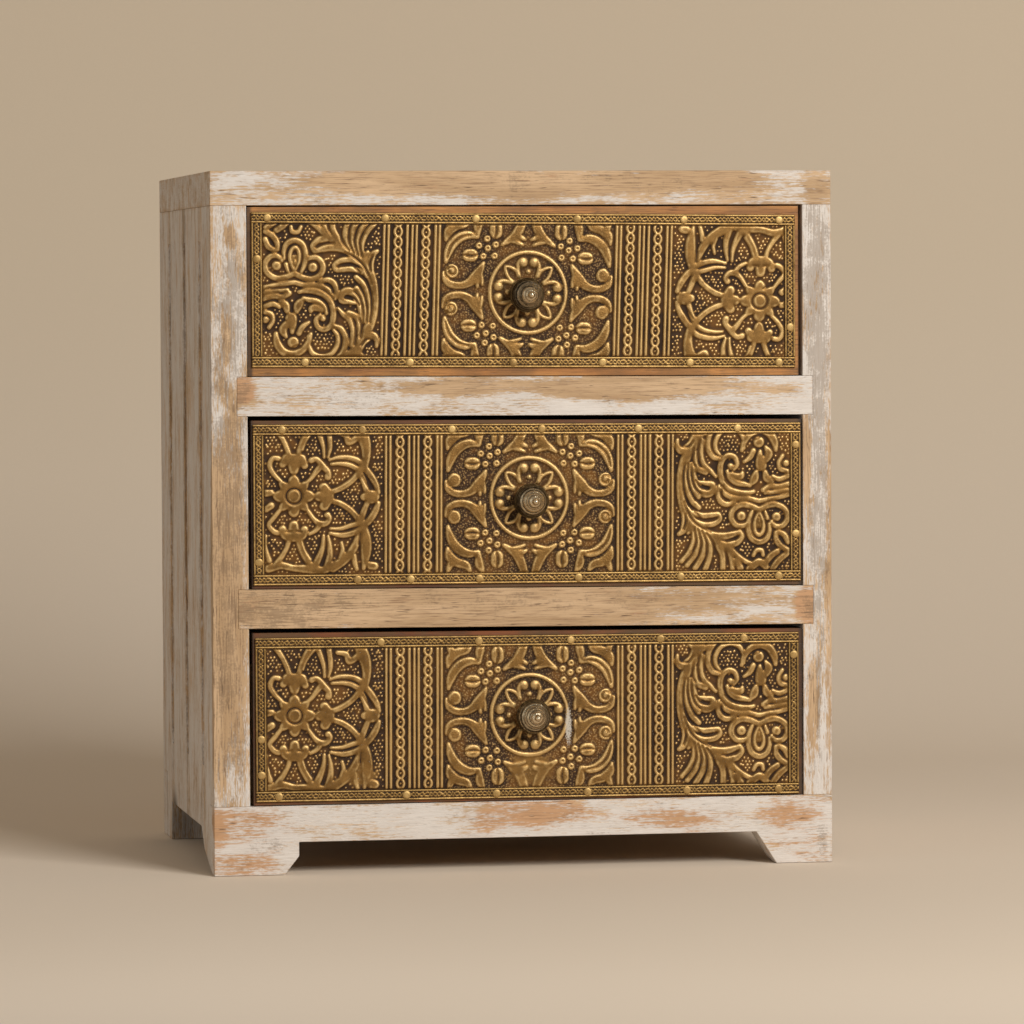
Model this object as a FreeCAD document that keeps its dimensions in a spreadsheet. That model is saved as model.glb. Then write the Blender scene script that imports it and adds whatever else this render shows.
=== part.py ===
import FreeCAD, Part
import os
import Sketcher

# A small wooden chest of three inset drawers.  The drawer fronts are faced with embossed brass
# sheet, held by narrow brass strips and dome-headed nails, and each has a turned knob.
# Millimetres.  X runs left to right, Y front to back, Z up; the origin lies on the floor at the
# middle of the chest's whole box, knobs included.

doc = FreeCAD.newDocument("drawer_chest")
sheet = doc.addObject("Spreadsheet::Sheet", "Sizes")

SIZES = {
    # carcass, seen from the front
    "opening_width": 225.7,
    "left_side_thick": 14.5,
    "right_side_thick": 11.8,
    "top_thick": 13.7,
    "upper_opening": 68.5,
    "upper_rail_height": 15.6,
    "middle_opening": 69.0,
    "lower_rail_height": 15.6,
    "lower_opening": 70.1,
    "apron_height": 27.5,
    "upper_rail_drop": 1.2,
    "lower_rail_drop": 1.5,
    "depth": 180.0,
    # feet and arches
    "apron_thick": 14.0,
    "front_arch_height": 13.0,
    "left_foot_width": 34.0,
    "left_foot_sole": 28.2,
    "left_foot_shoulder": 7.4,
    "right_foot_width": 31.5,
    "right_foot_sole": 23.1,
    "side_arch_height": 16.0,
    "side_foot_top": 43.0,
    "side_foot_depth": 33.0,
    "side_foot_shoulder": 7.5,
    "side_foot_toe": 8.0,
    "rear_foot_depth": 30.0,
    # grooves down the outside of the side boards
    "flute_spacing": 53.5,
    "flute_width": 8.0,
    "flute_cut": 1.2,
    "flute_stop": 14.0,
    # joints between the boards
    "rail_depth": 22.0,
    "rail_let_in": 4.2,
    "shelf_thick": 4.0,
    "shelf_let_in": 3.0,
    "back_thick": 4.0,
    "back_rebate": 5.0,
    "pin_radius": 0.6,
    "pin_length": 12.0,
    "pin_ease": 0.03,
    # drawer boxes
    "upper_left_gap": 0.4,
    "upper_right_gap": 1.5,
    "upper_top_gap": 0.6,
    "middle_left_gap": 1.4,
    "middle_right_gap": 0.4,
    "middle_top_gap": 1.8,
    "lower_left_gap": 1.5,
    "lower_right_gap": 0.4,
    "lower_top_gap": 1.8,
    "run_gap": 0.35,
    "stop_gap": 0.5,
    "front_setback": 1.0,
    "front_thick": 12.0,
    "front_rebate": 7.0,
    "drawer_side_thick": 6.5,
    "drawer_side_height": 56.0,
    "drawer_back_thick": 7.0,
    "drawer_base_thick": 3.0,
    "drawer_base_rise": 3.0,
    "drawer_groove": 3.0,
    # brass facing
    "brass_thick": 0.5,
    "strip_thick": 0.6,
    "strip_width": 4.3,
    "sheet_tuck": 2.5,
    "upper_brass_left": 1.5,
    "upper_brass_right": 1.5,
    "upper_brass_top": 2.8,
    "upper_brass_bottom": 3.2,
    "upper_brass_drop": 1.6,
    "middle_brass_left": 0.6,
    "middle_brass_right": 0.5,
    "middle_brass_top": 1.4,
    "middle_brass_bottom": 1.4,
    "middle_brass_drop": 1.1,
    "lower_brass_left": 0.9,
    "lower_brass_right": 1.5,
    "lower_brass_top": 1.6,
    "lower_brass_bottom": 0.8,
    "lower_brass_drop": 1.0,
    "rib_first": 36.5,
    "rib_spacing": 10.2,
    "rib_width": 1.0,
    "relief_height": 0.7,
    "ring_radius": 16.2,
    "ring_width": 1.1,
    "upper_ring_shift": 0.1,
    "middle_ring_shift": 1.0,
    "lower_ring_shift": 0.4,
    "upper_ring_rise": 33.5,
    "middle_ring_rise": 35.0,
    "lower_ring_rise": 34.0,
    "nail_head_radius": 1.7,
    "nail_head_height": 1.0,
    "nail_shank_radius": 0.6,
    "nail_length": 7.0,
    # knobs
    "upper_knob_shift": -1.0,
    "middle_knob_shift": 0.3,
    "lower_knob_shift": 0.8,
    "upper_knob_rise": 32.2,
    "middle_knob_rise": 34.6,
    "lower_knob_rise": 34.0,
    "knob_collar_radius": 4.4,
    "knob_collar_length": 1.8,
    "knob_bulb_radius": 6.8,
    "knob_dome_radius": 4.7,
    "knob_dome_offset": 4.6,
    "knob_tip_radius": 1.2,
    "screw_radius": 1.5,
    "screw_ease": 0.25,
    "thread_ease": 0.05,
    "thread_length": 8.0,
    "screw_head_radius": 3.0,
    "screw_head_height": 2.0,
    "washer_radius": 4.5,
    "washer_thick": 0.8,
}

for row, (alias, number) in enumerate(SIZES.items(), start=1):
    sheet.set(f"A{row}", alias)
    sheet.set(f"B{row}", str(number))
    sheet.setAlias(f"B{row}", alias)
doc.recompute()


# Places that several pieces share, as expressions of the sheet's sizes.  X is counted from the
# chest's left side, Y from the front face of its frame and Z from the floor.

LEFT = "Sizes.left_side_thick"
RIGHT = f"({LEFT} + Sizes.opening_width)"
WIDTH = f"({RIGHT} + Sizes.right_side_thick)"
CENTRE = f"({LEFT} + Sizes.opening_width / 2)"
BACK = "(Sizes.depth - Sizes.back_thick)"
APRON_TOP = "Sizes.apron_height"
LOWER_RAIL = f"({APRON_TOP} + Sizes.lower_opening)"
LOWER_RAIL_TOP = f"({LOWER_RAIL} + Sizes.lower_rail_height)"
UPPER_RAIL = f"({LOWER_RAIL_TOP} + Sizes.middle_opening)"
UPPER_RAIL_TOP = f"({UPPER_RAIL} + Sizes.upper_rail_height)"
SIDE_TOP = f"({UPPER_RAIL_TOP} + Sizes.upper_opening)"

SHEET_FACE = "(Sizes.front_setback - Sizes.brass_thick)"
STRIP_FACE = f"({SHEET_FACE} - Sizes.strip_thick)"
BULB_SEAT = "sqrt(Sizes.knob_bulb_radius ^ 2 - Sizes.knob_collar_radius ^ 2)"
BULB_Y = f"({SHEET_FACE} - Sizes.knob_collar_length - {BULB_SEAT})"
DOME_Y = f"({BULB_Y} - Sizes.knob_dome_offset)"
TIP_Y = f"({DOME_Y} - Sizes.knob_dome_radius)"
KNOB_REACH = f"(Sizes.knob_tip_radius - {TIP_Y})"

BASE_X = f"(-{WIDTH} / 2)"
BASE_Y = f"(({KNOB_REACH} - Sizes.depth) / 2)"

TO_FRONT = FreeCAD.Rotation(FreeCAD.Vector(1, 0, 0), 90)
TO_RIGHT = FreeCAD.Rotation(FreeCAD.Vector(0, 1, 0), 90)
UPRIGHT = FreeCAD.Rotation()


def level(height):
    """A line across the chest at one height."""
    return lambda x: f"({height})"


def sloping(height, drop):
    """A line across the chest that falls by drop from the opening's left side to its right."""
    return lambda x: f"({height} - {drop} * ({x} - {CENTRE}) / Sizes.opening_width)"


def raised(line, rise):
    """The same line, moved up."""
    return lambda x: f"({line(x)} + {rise})"


def number(expression):
    """The value of a sheet expression now."""
    return float(sheet.evalExpression(expression))


def seat(item, x, y, z, rotation=UPRIGHT):
    """Put an object at a place counted from the left side, the front face and the floor."""
    item.Placement = FreeCAD.Placement(FreeCAD.Vector(0, 0, 0), rotation)
    item.setExpression("Placement.Base.x", f"{BASE_X} + {x}")
    item.setExpression("Placement.Base.y", f"{BASE_Y} + {y}")
    item.setExpression("Placement.Base.z", z)
    return item


def box(label, x, y, z, length, depth, height):
    """A straight board."""
    item = doc.addObject("Part::Box", label)
    item.setExpression("Length", length)
    item.setExpression("Width", depth)
    item.setExpression("Height", height)
    return seat(item, x, y, z)


def rod(label, x, y, z, radius, length, rotation=TO_FRONT):
    """A round bar that starts at its place and runs forward, or the way it is turned."""
    item = doc.addObject("Part::Cylinder", label)
    item.setExpression("Radius", radius)
    item.setExpression("Height", length)
    return seat(item, x, y, z, rotation)


def ball(label, x, y, z, radius):
    """A ball at its centre."""
    item = doc.addObject("Part::Sphere", label)
    item.setExpression("Radius", radius)
    return seat(item, x, y, z)


def outline(body, role, corners):
    """A closed outline of straight edges, each corner a pair of expressions."""
    sketch = body.newObject("Sketcher::SketchObject", f"{body.Name}_outline")
    plane = [item for item in body.Origin.OriginFeatures if item.Role == role][0]
    sketch.AttachmentSupport = [(plane, "")]
    sketch.MapMode = "FlatFace"
    points = [FreeCAD.Vector(number(across), number(up), 0) for across, up in corners]
    ends = points[1:] + points[:1]
    sketch.addGeometry([Part.LineSegment(start, end) for start, end in zip(points, ends)])
    for edge, (across, up) in enumerate(corners):
        after = (edge + 1) % len(corners)
        sketch.addConstraint(Sketcher.Constraint("Coincident", edge, 2, after, 1))
        for kind, expression, now in (("DistanceX", across, points[edge].x),
                                      ("DistanceY", up, points[edge].y)):
            made = sketch.addConstraint(Sketcher.Constraint(kind, -1, 1, edge, 1, now))
            sketch.renameConstraint(made, f"{kind}_{edge}")
            sketch.setExpression(f"Constraints.{kind}_{edge}", expression)
    return sketch


def panel(label, corners, y, thick):
    """A board sawn to an outline seen from the front, from y backwards."""
    body = doc.addObject("PartDesign::Body", label)
    sketch = outline(body, "XZ_Plane", corners)
    pad = body.newObject("PartDesign::Pad", f"{label}_pad")
    pad.Profile = sketch
    pad.Reversed = True
    pad.setExpression("Length", thick)
    return seat(body, "0", y, "0")


def side_panel(label, corners, x, thick):
    """A board sawn to an outline seen from the side, from x to the right."""
    body = doc.addObject("PartDesign::Body", label)
    sketch = outline(body, "YZ_Plane", corners)
    pad = body.newObject("PartDesign::Pad", f"{label}_pad")
    pad.Profile = sketch
    pad.setExpression("Length", thick)
    return seat(body, x, "0", "0")


def across_panel(label, left, right, bottom, top, y, thick):
    """A four-cornered board between two lines across the chest."""
    corners = [(left, bottom(left)), (right, bottom(right)), (right, top(right)), (left, top(left))]
    return panel(label, corners, y, thick)


def group(label, items):
    """Separate solids kept as one piece of hardware, or as one cutting tool."""
    item = doc.addObject("Part::Compound", label)
    item.Links = items
    return item


def joined(label, items):
    item = doc.addObject("Part::MultiFuse", label)
    item.Shapes = items
    return item


def cut(label, base, tools):
    """A piece with every tool's shape taken out of it."""
    for step, tool in enumerate(tools, start=1):
        name = label if step == len(tools) else f"{label}_cut_{step}"
        item = doc.addObject("Part::Cut", name)
        item.Base = base
        item.Tool = tool
        base = item
    return base


parts = []


def keep(item, label):
    """Mark an object as a finished sub-part and give it its name."""
    item.Label = label
    parts.append(item)
    return item


# Carcass: the lines that the drawer openings are drawn to.

lower_rail_bottom = sloping(LOWER_RAIL, "Sizes.lower_rail_drop")
lower_rail_top = sloping(LOWER_RAIL_TOP, "Sizes.lower_rail_drop")
upper_rail_bottom = sloping(UPPER_RAIL, "Sizes.upper_rail_drop")
upper_rail_top = sloping(UPPER_RAIL_TOP, "Sizes.upper_rail_drop")
apron_line = level(APRON_TOP)
top_line = level(SIDE_TOP)

keep(box("top", "0", "0", SIDE_TOP, WIDTH, "Sizes.depth", "Sizes.top_thick"), "top_board")


def rail(label, bottom, top):
    """A front rail, let into the front edges of both side boards."""
    left = f"({LEFT} - Sizes.rail_let_in)"
    right = f"({RIGHT} + Sizes.rail_let_in)"
    return keep(across_panel(label, left, right, bottom, top, "0", "Sizes.rail_depth"), label)


def shelf(label, top, y, depth):
    """A thin board housed in grooves in both side boards."""
    left = f"({LEFT} - Sizes.shelf_let_in)"
    right = f"({RIGHT} + Sizes.shelf_let_in)"
    bottom = raised(top, "-Sizes.shelf_thick")
    return keep(across_panel(label, left, right, bottom, top, y, depth), label)


upper_rail = rail("upper_front_rail", upper_rail_bottom, upper_rail_top)
lower_rail = rail("lower_front_rail", lower_rail_bottom, lower_rail_top)
shelf_depth = f"({BACK} - Sizes.rail_depth)"
upper_shelf = shelf("upper_shelf", upper_rail_top, "Sizes.rail_depth", shelf_depth)
lower_shelf = shelf("lower_shelf", lower_rail_top, "Sizes.rail_depth", shelf_depth)
base_depth = "(Sizes.depth - 2 * Sizes.apron_thick)"
bottom_board = shelf("bottom_board", apron_line, "Sizes.apron_thick", base_depth)

back_left = f"({LEFT} - Sizes.back_rebate)"
back_right = f"({RIGHT} + Sizes.back_rebate)"
back_panel_blank = across_panel("back_panel_blank", back_left, back_right, apron_line, top_line,
                                BACK, "Sizes.back_thick")

# The aprons run across the full width, over the ends of the side boards, and stand on two
# bracket feet.  A long bevel carries each side board's foot on under the apron.

FOOT_RISE = "(Sizes.side_foot_shoulder / (Sizes.side_foot_depth - Sizes.side_foot_toe))"
HEEL = f"({FOOT_RISE} * (Sizes.apron_thick - Sizes.side_foot_toe))"


def apron(label, y):
    corners = [
        ("0", "0"),
        ("Sizes.left_foot_sole", "0"),
        ("Sizes.left_foot_width", "Sizes.left_foot_shoulder"),
        ("Sizes.left_foot_width", "Sizes.front_arch_height"),
        (f"({WIDTH} - Sizes.right_foot_width)", "Sizes.front_arch_height"),
        (f"({WIDTH} - Sizes.right_foot_sole)", "0"),
        (WIDTH, "0"),
        (WIDTH, APRON_TOP),
        ("0", APRON_TOP),
    ]
    return panel(label, corners, y, "Sizes.apron_thick")


heel_bevel = side_panel("heel_bevel", [
    ("Sizes.side_foot_toe", "0"),
    ("Sizes.apron_thick", "0"),
    ("Sizes.apron_thick", HEEL),
], "0", WIDTH)
keep(cut("front_apron", apron("front_apron_blank", "0"), [heel_bevel]), "front_apron")
keep(apron("rear_apron", "(Sizes.depth - Sizes.apron_thick)"), "rear_apron")

# Side boards: an arch between two feet, a notch at each end for the aprons, housings for the
# rails, shelves and back panel, and three shallow flutes down the outside.

PINS_UP_THE_BACK = (0.1, 0.37, 0.63, 0.9)


def back_pins(label, ease):
    """Pins through the back panel into the side boards, or with some ease their holes."""
    radius = f"Sizes.pin_radius + {ease}"
    length = f"(Sizes.pin_length + {ease})"
    items = []
    for side, x in (("left", f"({LEFT} - Sizes.back_rebate / 2)"),
                    ("right", f"({RIGHT} + Sizes.back_rebate / 2)")):
        for spot, share in enumerate(PINS_UP_THE_BACK):
            z = f"({APRON_TOP} + {share} * ({SIDE_TOP} - {APRON_TOP}))"
            name = f"{label}_{side}_{spot}"
            items.append(rod(name, x, "Sizes.depth", z, radius, length))
    return group(label, items)


back_pin_holes = back_pins("back_pin_holes", "Sizes.pin_ease")
keep(back_pins("back_panel_pins", "0"), "back_panel_pins")
back_panel = keep(cut("back_panel", back_panel_blank, [back_pin_holes]), "back_panel")

SIDE_CORNERS = [
    ("Sizes.apron_thick", HEEL),
    ("Sizes.side_foot_depth", "Sizes.side_foot_shoulder"),
    ("Sizes.side_foot_top", "Sizes.side_arch_height"),
    ("(Sizes.depth - Sizes.rear_foot_depth)", "Sizes.side_arch_height"),
    ("(Sizes.depth - Sizes.rear_foot_depth)", "0"),
    ("(Sizes.depth - Sizes.apron_thick)", "0"),
    ("(Sizes.depth - Sizes.apron_thick)", APRON_TOP),
    ("Sizes.depth", APRON_TOP),
    ("Sizes.depth", SIDE_TOP),
    ("0", SIDE_TOP),
    ("0", APRON_TOP),
    ("Sizes.apron_thick", APRON_TOP),
]


def flutes(label, x):
    """Cutters for the grooves, which start above the feet and stop short of the top."""
    items = []
    for spot in (-1, 0, 1):
        middle = f"(Sizes.depth / 2 + {spot} * Sizes.flute_spacing)"
        start = f"({middle} - Sizes.flute_width / 2)"
        foot = f"({APRON_TOP} + Sizes.flute_stop)"
        height = f"({SIDE_TOP} - {APRON_TOP} - 2 * Sizes.flute_stop)"
        items.append(box(f"{label}_{spot + 1}", x, start, foot, "Sizes.flute_cut",
                         "Sizes.flute_width", height))
    return group(label, items)


def side_board(label, x, thick, flute_x):
    blank = side_panel(f"{label}_blank", SIDE_CORNERS, x, thick)
    tools = [upper_rail, lower_rail, upper_shelf, lower_shelf, bottom_board, back_panel_blank,
             back_pin_holes, flutes(f"{label}_flutes", flute_x)]
    return keep(cut(label, blank, tools), label)


side_board("left_side_board", "0", LEFT, "0")
side_board("right_side_board", RIGHT, "Sizes.right_side_thick", f"({WIDTH} - Sizes.flute_cut)")


# Drawers.  Each front is sawn to its own opening; the brass on it is nailed on by eye, so it
# leans a little, and its nails are spaced as shares of a strip's length.

DRAWERS = {
    "upper": {"floor": upper_rail_top, "ceiling": top_line,
              "top": (0.029, 0.243, 0.409, 0.595, 0.793, 0.970),
              "bottom": (0.096, 0.287, 0.476, 0.641, 0.803, 0.969),
              "left": (0.70,), "right": (0.265,)},
    "middle": {"floor": lower_rail_top, "ceiling": upper_rail_bottom,
               "top": (0.052, 0.197, 0.359, 0.523, 0.700, 0.883),
               "bottom": (0.187, 0.283, 0.408, 0.589, 0.777, 0.958),
               "left": (0.144,), "right": (0.30, 0.86)},
    "lower": {"floor": apron_line, "ceiling": lower_rail_bottom,
              "top": (0.228, 0.407, 0.576, 0.742, 0.897),
              "bottom": (0.041, 0.273, 0.438, 0.606, 0.790, 0.961),
              "left": (0.165, 0.383), "right": (0.861,)},
}


class Drawer:
    """The places that the pieces of one drawer share."""

    def __init__(self, name, floor, ceiling):
        self.name = name
        self.left = f"({LEFT} + Sizes.{name}_left_gap)"
        self.right = f"({RIGHT} - Sizes.{name}_right_gap)"
        self.bottom = raised(floor, "Sizes.run_gap")
        self.top = raised(ceiling, f"-Sizes.{name}_top_gap")
        self.inner_left = f"({self.left} + Sizes.drawer_side_thick)"
        self.inner_right = f"({self.right} - Sizes.drawer_side_thick)"
        self.front_y = "Sizes.front_setback"
        self.front_back_y = "(Sizes.front_setback + Sizes.front_thick)"
        self.end_y = f"({BACK} - Sizes.stop_gap)"
        self.side_y = f"({self.front_back_y} - Sizes.front_rebate)"
        self.side_top = raised(self.bottom, "Sizes.drawer_side_height")
        self.base_bottom = raised(self.bottom, "Sizes.drawer_base_rise")
        self.base_top = raised(self.base_bottom, "Sizes.drawer_base_thick")
        self.brass_left = f"({self.left} + Sizes.{name}_brass_left)"
        self.brass_right = f"({self.right} - Sizes.{name}_brass_right)"
        drop = f"Sizes.{name}_brass_drop"
        low = f"({self.bottom(CENTRE)} + Sizes.{name}_brass_bottom)"
        high = f"({self.top(CENTRE)} - Sizes.{name}_brass_top)"
        self.brass_bottom = sloping(low, drop)
        self.brass_top = sloping(high, drop)
        self.knob_x = f"({CENTRE} + Sizes.{name}_knob_shift)"
        self.knob_z = f"({self.bottom(CENTRE)} + Sizes.{name}_knob_rise)"
        self.ring_x = f"({CENTRE} + Sizes.{name}_ring_shift)"
        self.ring_z = f"({self.bottom(CENTRE)} + Sizes.{name}_ring_rise)"


def nail_spots(drawer, rows):
    """The centre of every nail: along the middle of each strip."""
    half = "Sizes.strip_width / 2"
    spots = []
    for line, offset, shares in ((drawer.brass_top, f"-{half}", rows["top"]),
                                 (drawer.brass_bottom, half, rows["bottom"])):
        for share in shares:
            x = f"({drawer.brass_left} + {share} * ({drawer.brass_right} - {drawer.brass_left}))"
            spots.append((x, raised(line, offset)(x)))
    for x, shares in ((f"({drawer.brass_left} + {half})", rows["left"]),
                      (f"({drawer.brass_right} - {half})", rows["right"])):
        for share in shares:
            low = drawer.brass_bottom(x)
            high = drawer.brass_top(x)
            spots.append((x, f"({low} + {share} * ({high} - {low}))"))
    return spots


def brass_nails(label, spots):
    """Dome-headed nails, driven through the strips and the sheet."""
    curve = ("((Sizes.nail_head_radius ^ 2 + Sizes.nail_head_height ^ 2)"
             " / (2 * Sizes.nail_head_height))")
    sink = f"({curve} - Sizes.nail_head_height)"
    nails = []
    for spot, (x, z) in enumerate(spots):
        head = doc.addObject("Part::Sphere", f"{label}_head_{spot}")
        head.setExpression("Radius", curve)
        head.setExpression("Angle1", f"asin({sink} / {curve})")
        seat(head, x, f"({STRIP_FACE} + {sink})", z, TO_FRONT)
        shank = rod(f"{label}_shank_{spot}", x, f"({STRIP_FACE} + Sizes.nail_length)", z,
                    "Sizes.nail_shank_radius", "Sizes.nail_length")
        nails.append(joined(f"{label}_nail_{spot}", [head, shank]))
    return group(label, nails)


def nail_holes(label, spots):
    radius = "Sizes.nail_shank_radius + Sizes.pin_ease"
    depth = "Sizes.nail_length + Sizes.pin_ease"
    start = f"({STRIP_FACE} + {depth})"
    return group(label, [rod(f"{label}_{spot}", x, start, z, radius, f"({depth})")
                         for spot, (x, z) in enumerate(spots)])


PINS_UP_A_SIDE = (0.3, 0.75)
PINS_UNDER_THE_BACK = (0.1, 0.5, 0.9)


def drawer_pins(label, drawer, ease):
    """Pins through the sides and up through the base, or with some ease their holes."""
    radius = f"Sizes.pin_radius + {ease}"
    length = f"(Sizes.pin_length + 2 * {ease})"
    items = []
    lines = (f"({drawer.side_y} + Sizes.front_rebate / 2)",
             f"({drawer.end_y} - Sizes.drawer_back_thick / 2)")
    starts = (f"({drawer.left} - {ease})",
              f"({drawer.right} - Sizes.pin_length - {ease})")
    for step, (y, x) in enumerate((y, x) for y in lines for x in starts):
        for share in PINS_UP_A_SIDE:
            z = f"({drawer.bottom(x)} + {share} * Sizes.drawer_side_height)"
            name = f"{label}_{step}_{int(100 * share)}"
            items.append(rod(name, x, y, z, radius, length, TO_RIGHT))
    for share in PINS_UNDER_THE_BACK:
        x = f"({drawer.inner_left} + {share} * ({drawer.inner_right} - {drawer.inner_left}))"
        z = f"({drawer.base_bottom(x)} - {ease})"
        name = f"{label}_base_{int(100 * share)}"
        items.append(rod(name, x, lines[1], z, radius, length, UPRIGHT))
    return group(label, items)


def drawer_box(drawer, nails_cut):
    """Front, sides, back and base, with the base let into grooves."""
    name = drawer.name
    groove_left = f"({drawer.inner_left} - Sizes.drawer_groove)"
    groove_right = f"({drawer.inner_right} + Sizes.drawer_groove)"
    groove_y = f"({drawer.front_back_y} - Sizes.drawer_groove)"
    base_depth = f"({drawer.end_y} - {groove_y})"
    base = across_panel(f"{name}_base_blank", groove_left, groove_right, drawer.base_bottom,
                        drawer.base_top, groove_y, base_depth)
    pin_holes = drawer_pins(f"{name}_pin_holes", drawer, "Sizes.pin_ease")
    side_depth = f"({drawer.end_y} - {drawer.side_y})"
    left_blank = across_panel(f"{name}_left_blank", drawer.left, drawer.inner_left,
                              drawer.bottom, drawer.side_top, drawer.side_y, side_depth)
    right_blank = across_panel(f"{name}_right_blank", drawer.inner_right, drawer.right,
                               drawer.bottom, drawer.side_top, drawer.side_y, side_depth)
    back_y = f"({drawer.end_y} - Sizes.drawer_back_thick)"
    back_blank = across_panel(f"{name}_back_blank", drawer.inner_left, drawer.inner_right,
                              drawer.base_top, drawer.side_top, back_y,
                              "Sizes.drawer_back_thick")
    front_blank = across_panel(f"{name}_front_blank", drawer.left, drawer.right, drawer.bottom,
                               drawer.top, drawer.front_y, "Sizes.front_thick")
    front_length = f"({drawer.front_back_y} - {SHEET_FACE})"
    screw_hole = rod(f"{name}_screw_hole", drawer.knob_x, drawer.front_back_y, drawer.knob_z,
                     "Sizes.screw_radius + Sizes.screw_ease", front_length)
    keep(cut(f"{name}_front", front_blank,
             [left_blank, right_blank, base, pin_holes, nails_cut, screw_hole]),
         f"{name}_drawer_front")
    keep(cut(f"{name}_left_side", left_blank, [base, pin_holes, nails_cut]),
         f"{name}_drawer_left_side")
    keep(cut(f"{name}_right_side", right_blank, [base, pin_holes, nails_cut]),
         f"{name}_drawer_right_side")
    keep(cut(f"{name}_back", back_blank, [pin_holes]), f"{name}_drawer_back")
    keep(cut(f"{name}_base", base, [pin_holes]), f"{name}_drawer_base")
    keep(drawer_pins(f"{name}_pins", drawer, "0"), f"{name}_drawer_pins")
    return screw_hole


RIBS_A_SIDE = 3


def brass_sheet(drawer, nails_cut, screw_hole):
    """The embossed sheet: upright ribs each side of a ring, its edges tucked under the strips."""
    name = drawer.name
    left = f"({drawer.brass_left} + Sizes.strip_width - Sizes.sheet_tuck)"
    right = f"({drawer.brass_right} - Sizes.strip_width + Sizes.sheet_tuck)"
    tuck = "(Sizes.strip_width - Sizes.sheet_tuck)"
    bottom = raised(drawer.brass_bottom, tuck)
    top = raised(drawer.brass_top, f"-{tuck}")
    field = across_panel(f"{name}_sheet_field", left, right, bottom, top, SHEET_FACE,
                         "Sizes.brass_thick")
    face_y = f"({SHEET_FACE} - Sizes.relief_height)"
    rib_bottom = raised(drawer.brass_bottom, "Sizes.strip_width")
    rib_top = raised(drawer.brass_top, "-Sizes.strip_width")
    raised_parts = [field]
    for direction in (-1, 1):
        for step in range(RIBS_A_SIDE):
            offset = f"{direction} * (Sizes.rib_first + {step} * Sizes.rib_spacing)"
            middle = f"({drawer.ring_x} + {offset})"
            rib_left = f"({middle} - Sizes.rib_width / 2)"
            rib_right = f"({middle} + Sizes.rib_width / 2)"
            raised_parts.append(across_panel(f"{name}_rib_{direction + 1}_{step}", rib_left,
                                             rib_right, rib_bottom, rib_top, face_y,
                                             "Sizes.relief_height"))
    outer = rod(f"{name}_ring_outer", drawer.ring_x, SHEET_FACE, drawer.ring_z,
                "Sizes.ring_radius", "Sizes.relief_height")
    inner = rod(f"{name}_ring_inner", drawer.ring_x, SHEET_FACE, drawer.ring_z,
                "Sizes.ring_radius - Sizes.ring_width", "Sizes.relief_height")
    raised_parts.append(cut(f"{name}_ring", outer, [inner]))
    whole = joined(f"{name}_sheet_whole", raised_parts)
    keep(cut(f"{name}_sheet", whole, [nails_cut, screw_hole]), f"{name}_brass_sheet")


def strips(drawer, nails_cut):
    """Four strips that frame the sheet: two across, and two uprights between them."""
    name = drawer.name
    below = raised(drawer.brass_bottom, "Sizes.strip_width")
    above = raised(drawer.brass_top, "-Sizes.strip_width")
    inner_left = f"({drawer.brass_left} + Sizes.strip_width)"
    inner_right = f"({drawer.brass_right} - Sizes.strip_width)"
    for place, left, right, low, high in (
            ("top", drawer.brass_left, drawer.brass_right, above, drawer.brass_top),
            ("bottom", drawer.brass_left, drawer.brass_right, drawer.brass_bottom, below),
            ("left", drawer.brass_left, inner_left, below, above),
            ("right", inner_right, drawer.brass_right, below, above)):
        blank = across_panel(f"{name}_{place}_strip_blank", left, right, low, high, STRIP_FACE,
                             "Sizes.strip_thick")
        keep(cut(f"{name}_{place}_strip", blank, [nails_cut]), f"{name}_{place}_strip")


def knob(drawer):
    """A turned knob, held by a screw through the drawer front."""
    name = drawer.name
    x = drawer.knob_x
    z = drawer.knob_z
    collar_length = "Sizes.knob_collar_length + Sizes.knob_bulb_radius / 2"
    shapes = [
        rod(f"{name}_knob_collar", x, SHEET_FACE, z, "Sizes.knob_collar_radius", collar_length),
        ball(f"{name}_knob_bulb", x, BULB_Y, z, "Sizes.knob_bulb_radius"),
        ball(f"{name}_knob_dome", x, DOME_Y, z, "Sizes.knob_dome_radius"),
        ball(f"{name}_knob_tip", x, TIP_Y, z, "Sizes.knob_tip_radius"),
    ]
    thread = rod(f"{name}_knob_bore", x, SHEET_FACE, z, "Sizes.screw_radius + Sizes.thread_ease",
                 "Sizes.thread_length + Sizes.thread_ease")
    turned = joined(f"{name}_knob_turned", shapes)
    keep(cut(f"{name}_knob", turned, [thread]), f"{name}_knob")

    washer_y = f"({drawer.front_back_y} + Sizes.washer_thick)"
    disc = rod(f"{name}_washer_disc", x, washer_y, z, "Sizes.washer_radius",
               "Sizes.washer_thick")
    hole = rod(f"{name}_washer_hole", x, washer_y, z, "Sizes.screw_radius + Sizes.screw_ease",
               "Sizes.washer_thick")
    keep(cut(f"{name}_washer", disc, [hole]), f"{name}_knob_washer")

    head = rod(f"{name}_screw_head", x, f"({washer_y} + Sizes.screw_head_height)", z,
               "Sizes.screw_head_radius", "Sizes.screw_head_height")
    shank_length = f"({washer_y} - {SHEET_FACE} + Sizes.thread_length)"
    shank = rod(f"{name}_screw_shank", x, washer_y, z, "Sizes.screw_radius", shank_length)
    keep(joined(f"{name}_screw", [head, shank]), f"{name}_knob_screw")


for name, rows in DRAWERS.items():
    drawer = Drawer(name, rows["floor"], rows["ceiling"])
    spots = nail_spots(drawer, rows)
    holes = nail_holes(f"{name}_nail_holes", spots)
    hole_for_screw = drawer_box(drawer, holes)
    brass_sheet(drawer, holes, hole_for_screw)
    strips(drawer, holes)
    keep(brass_nails(f"{name}_nails", spots), f"{name}_brass_nails")
    knob(drawer)

doc.recompute()

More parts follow.
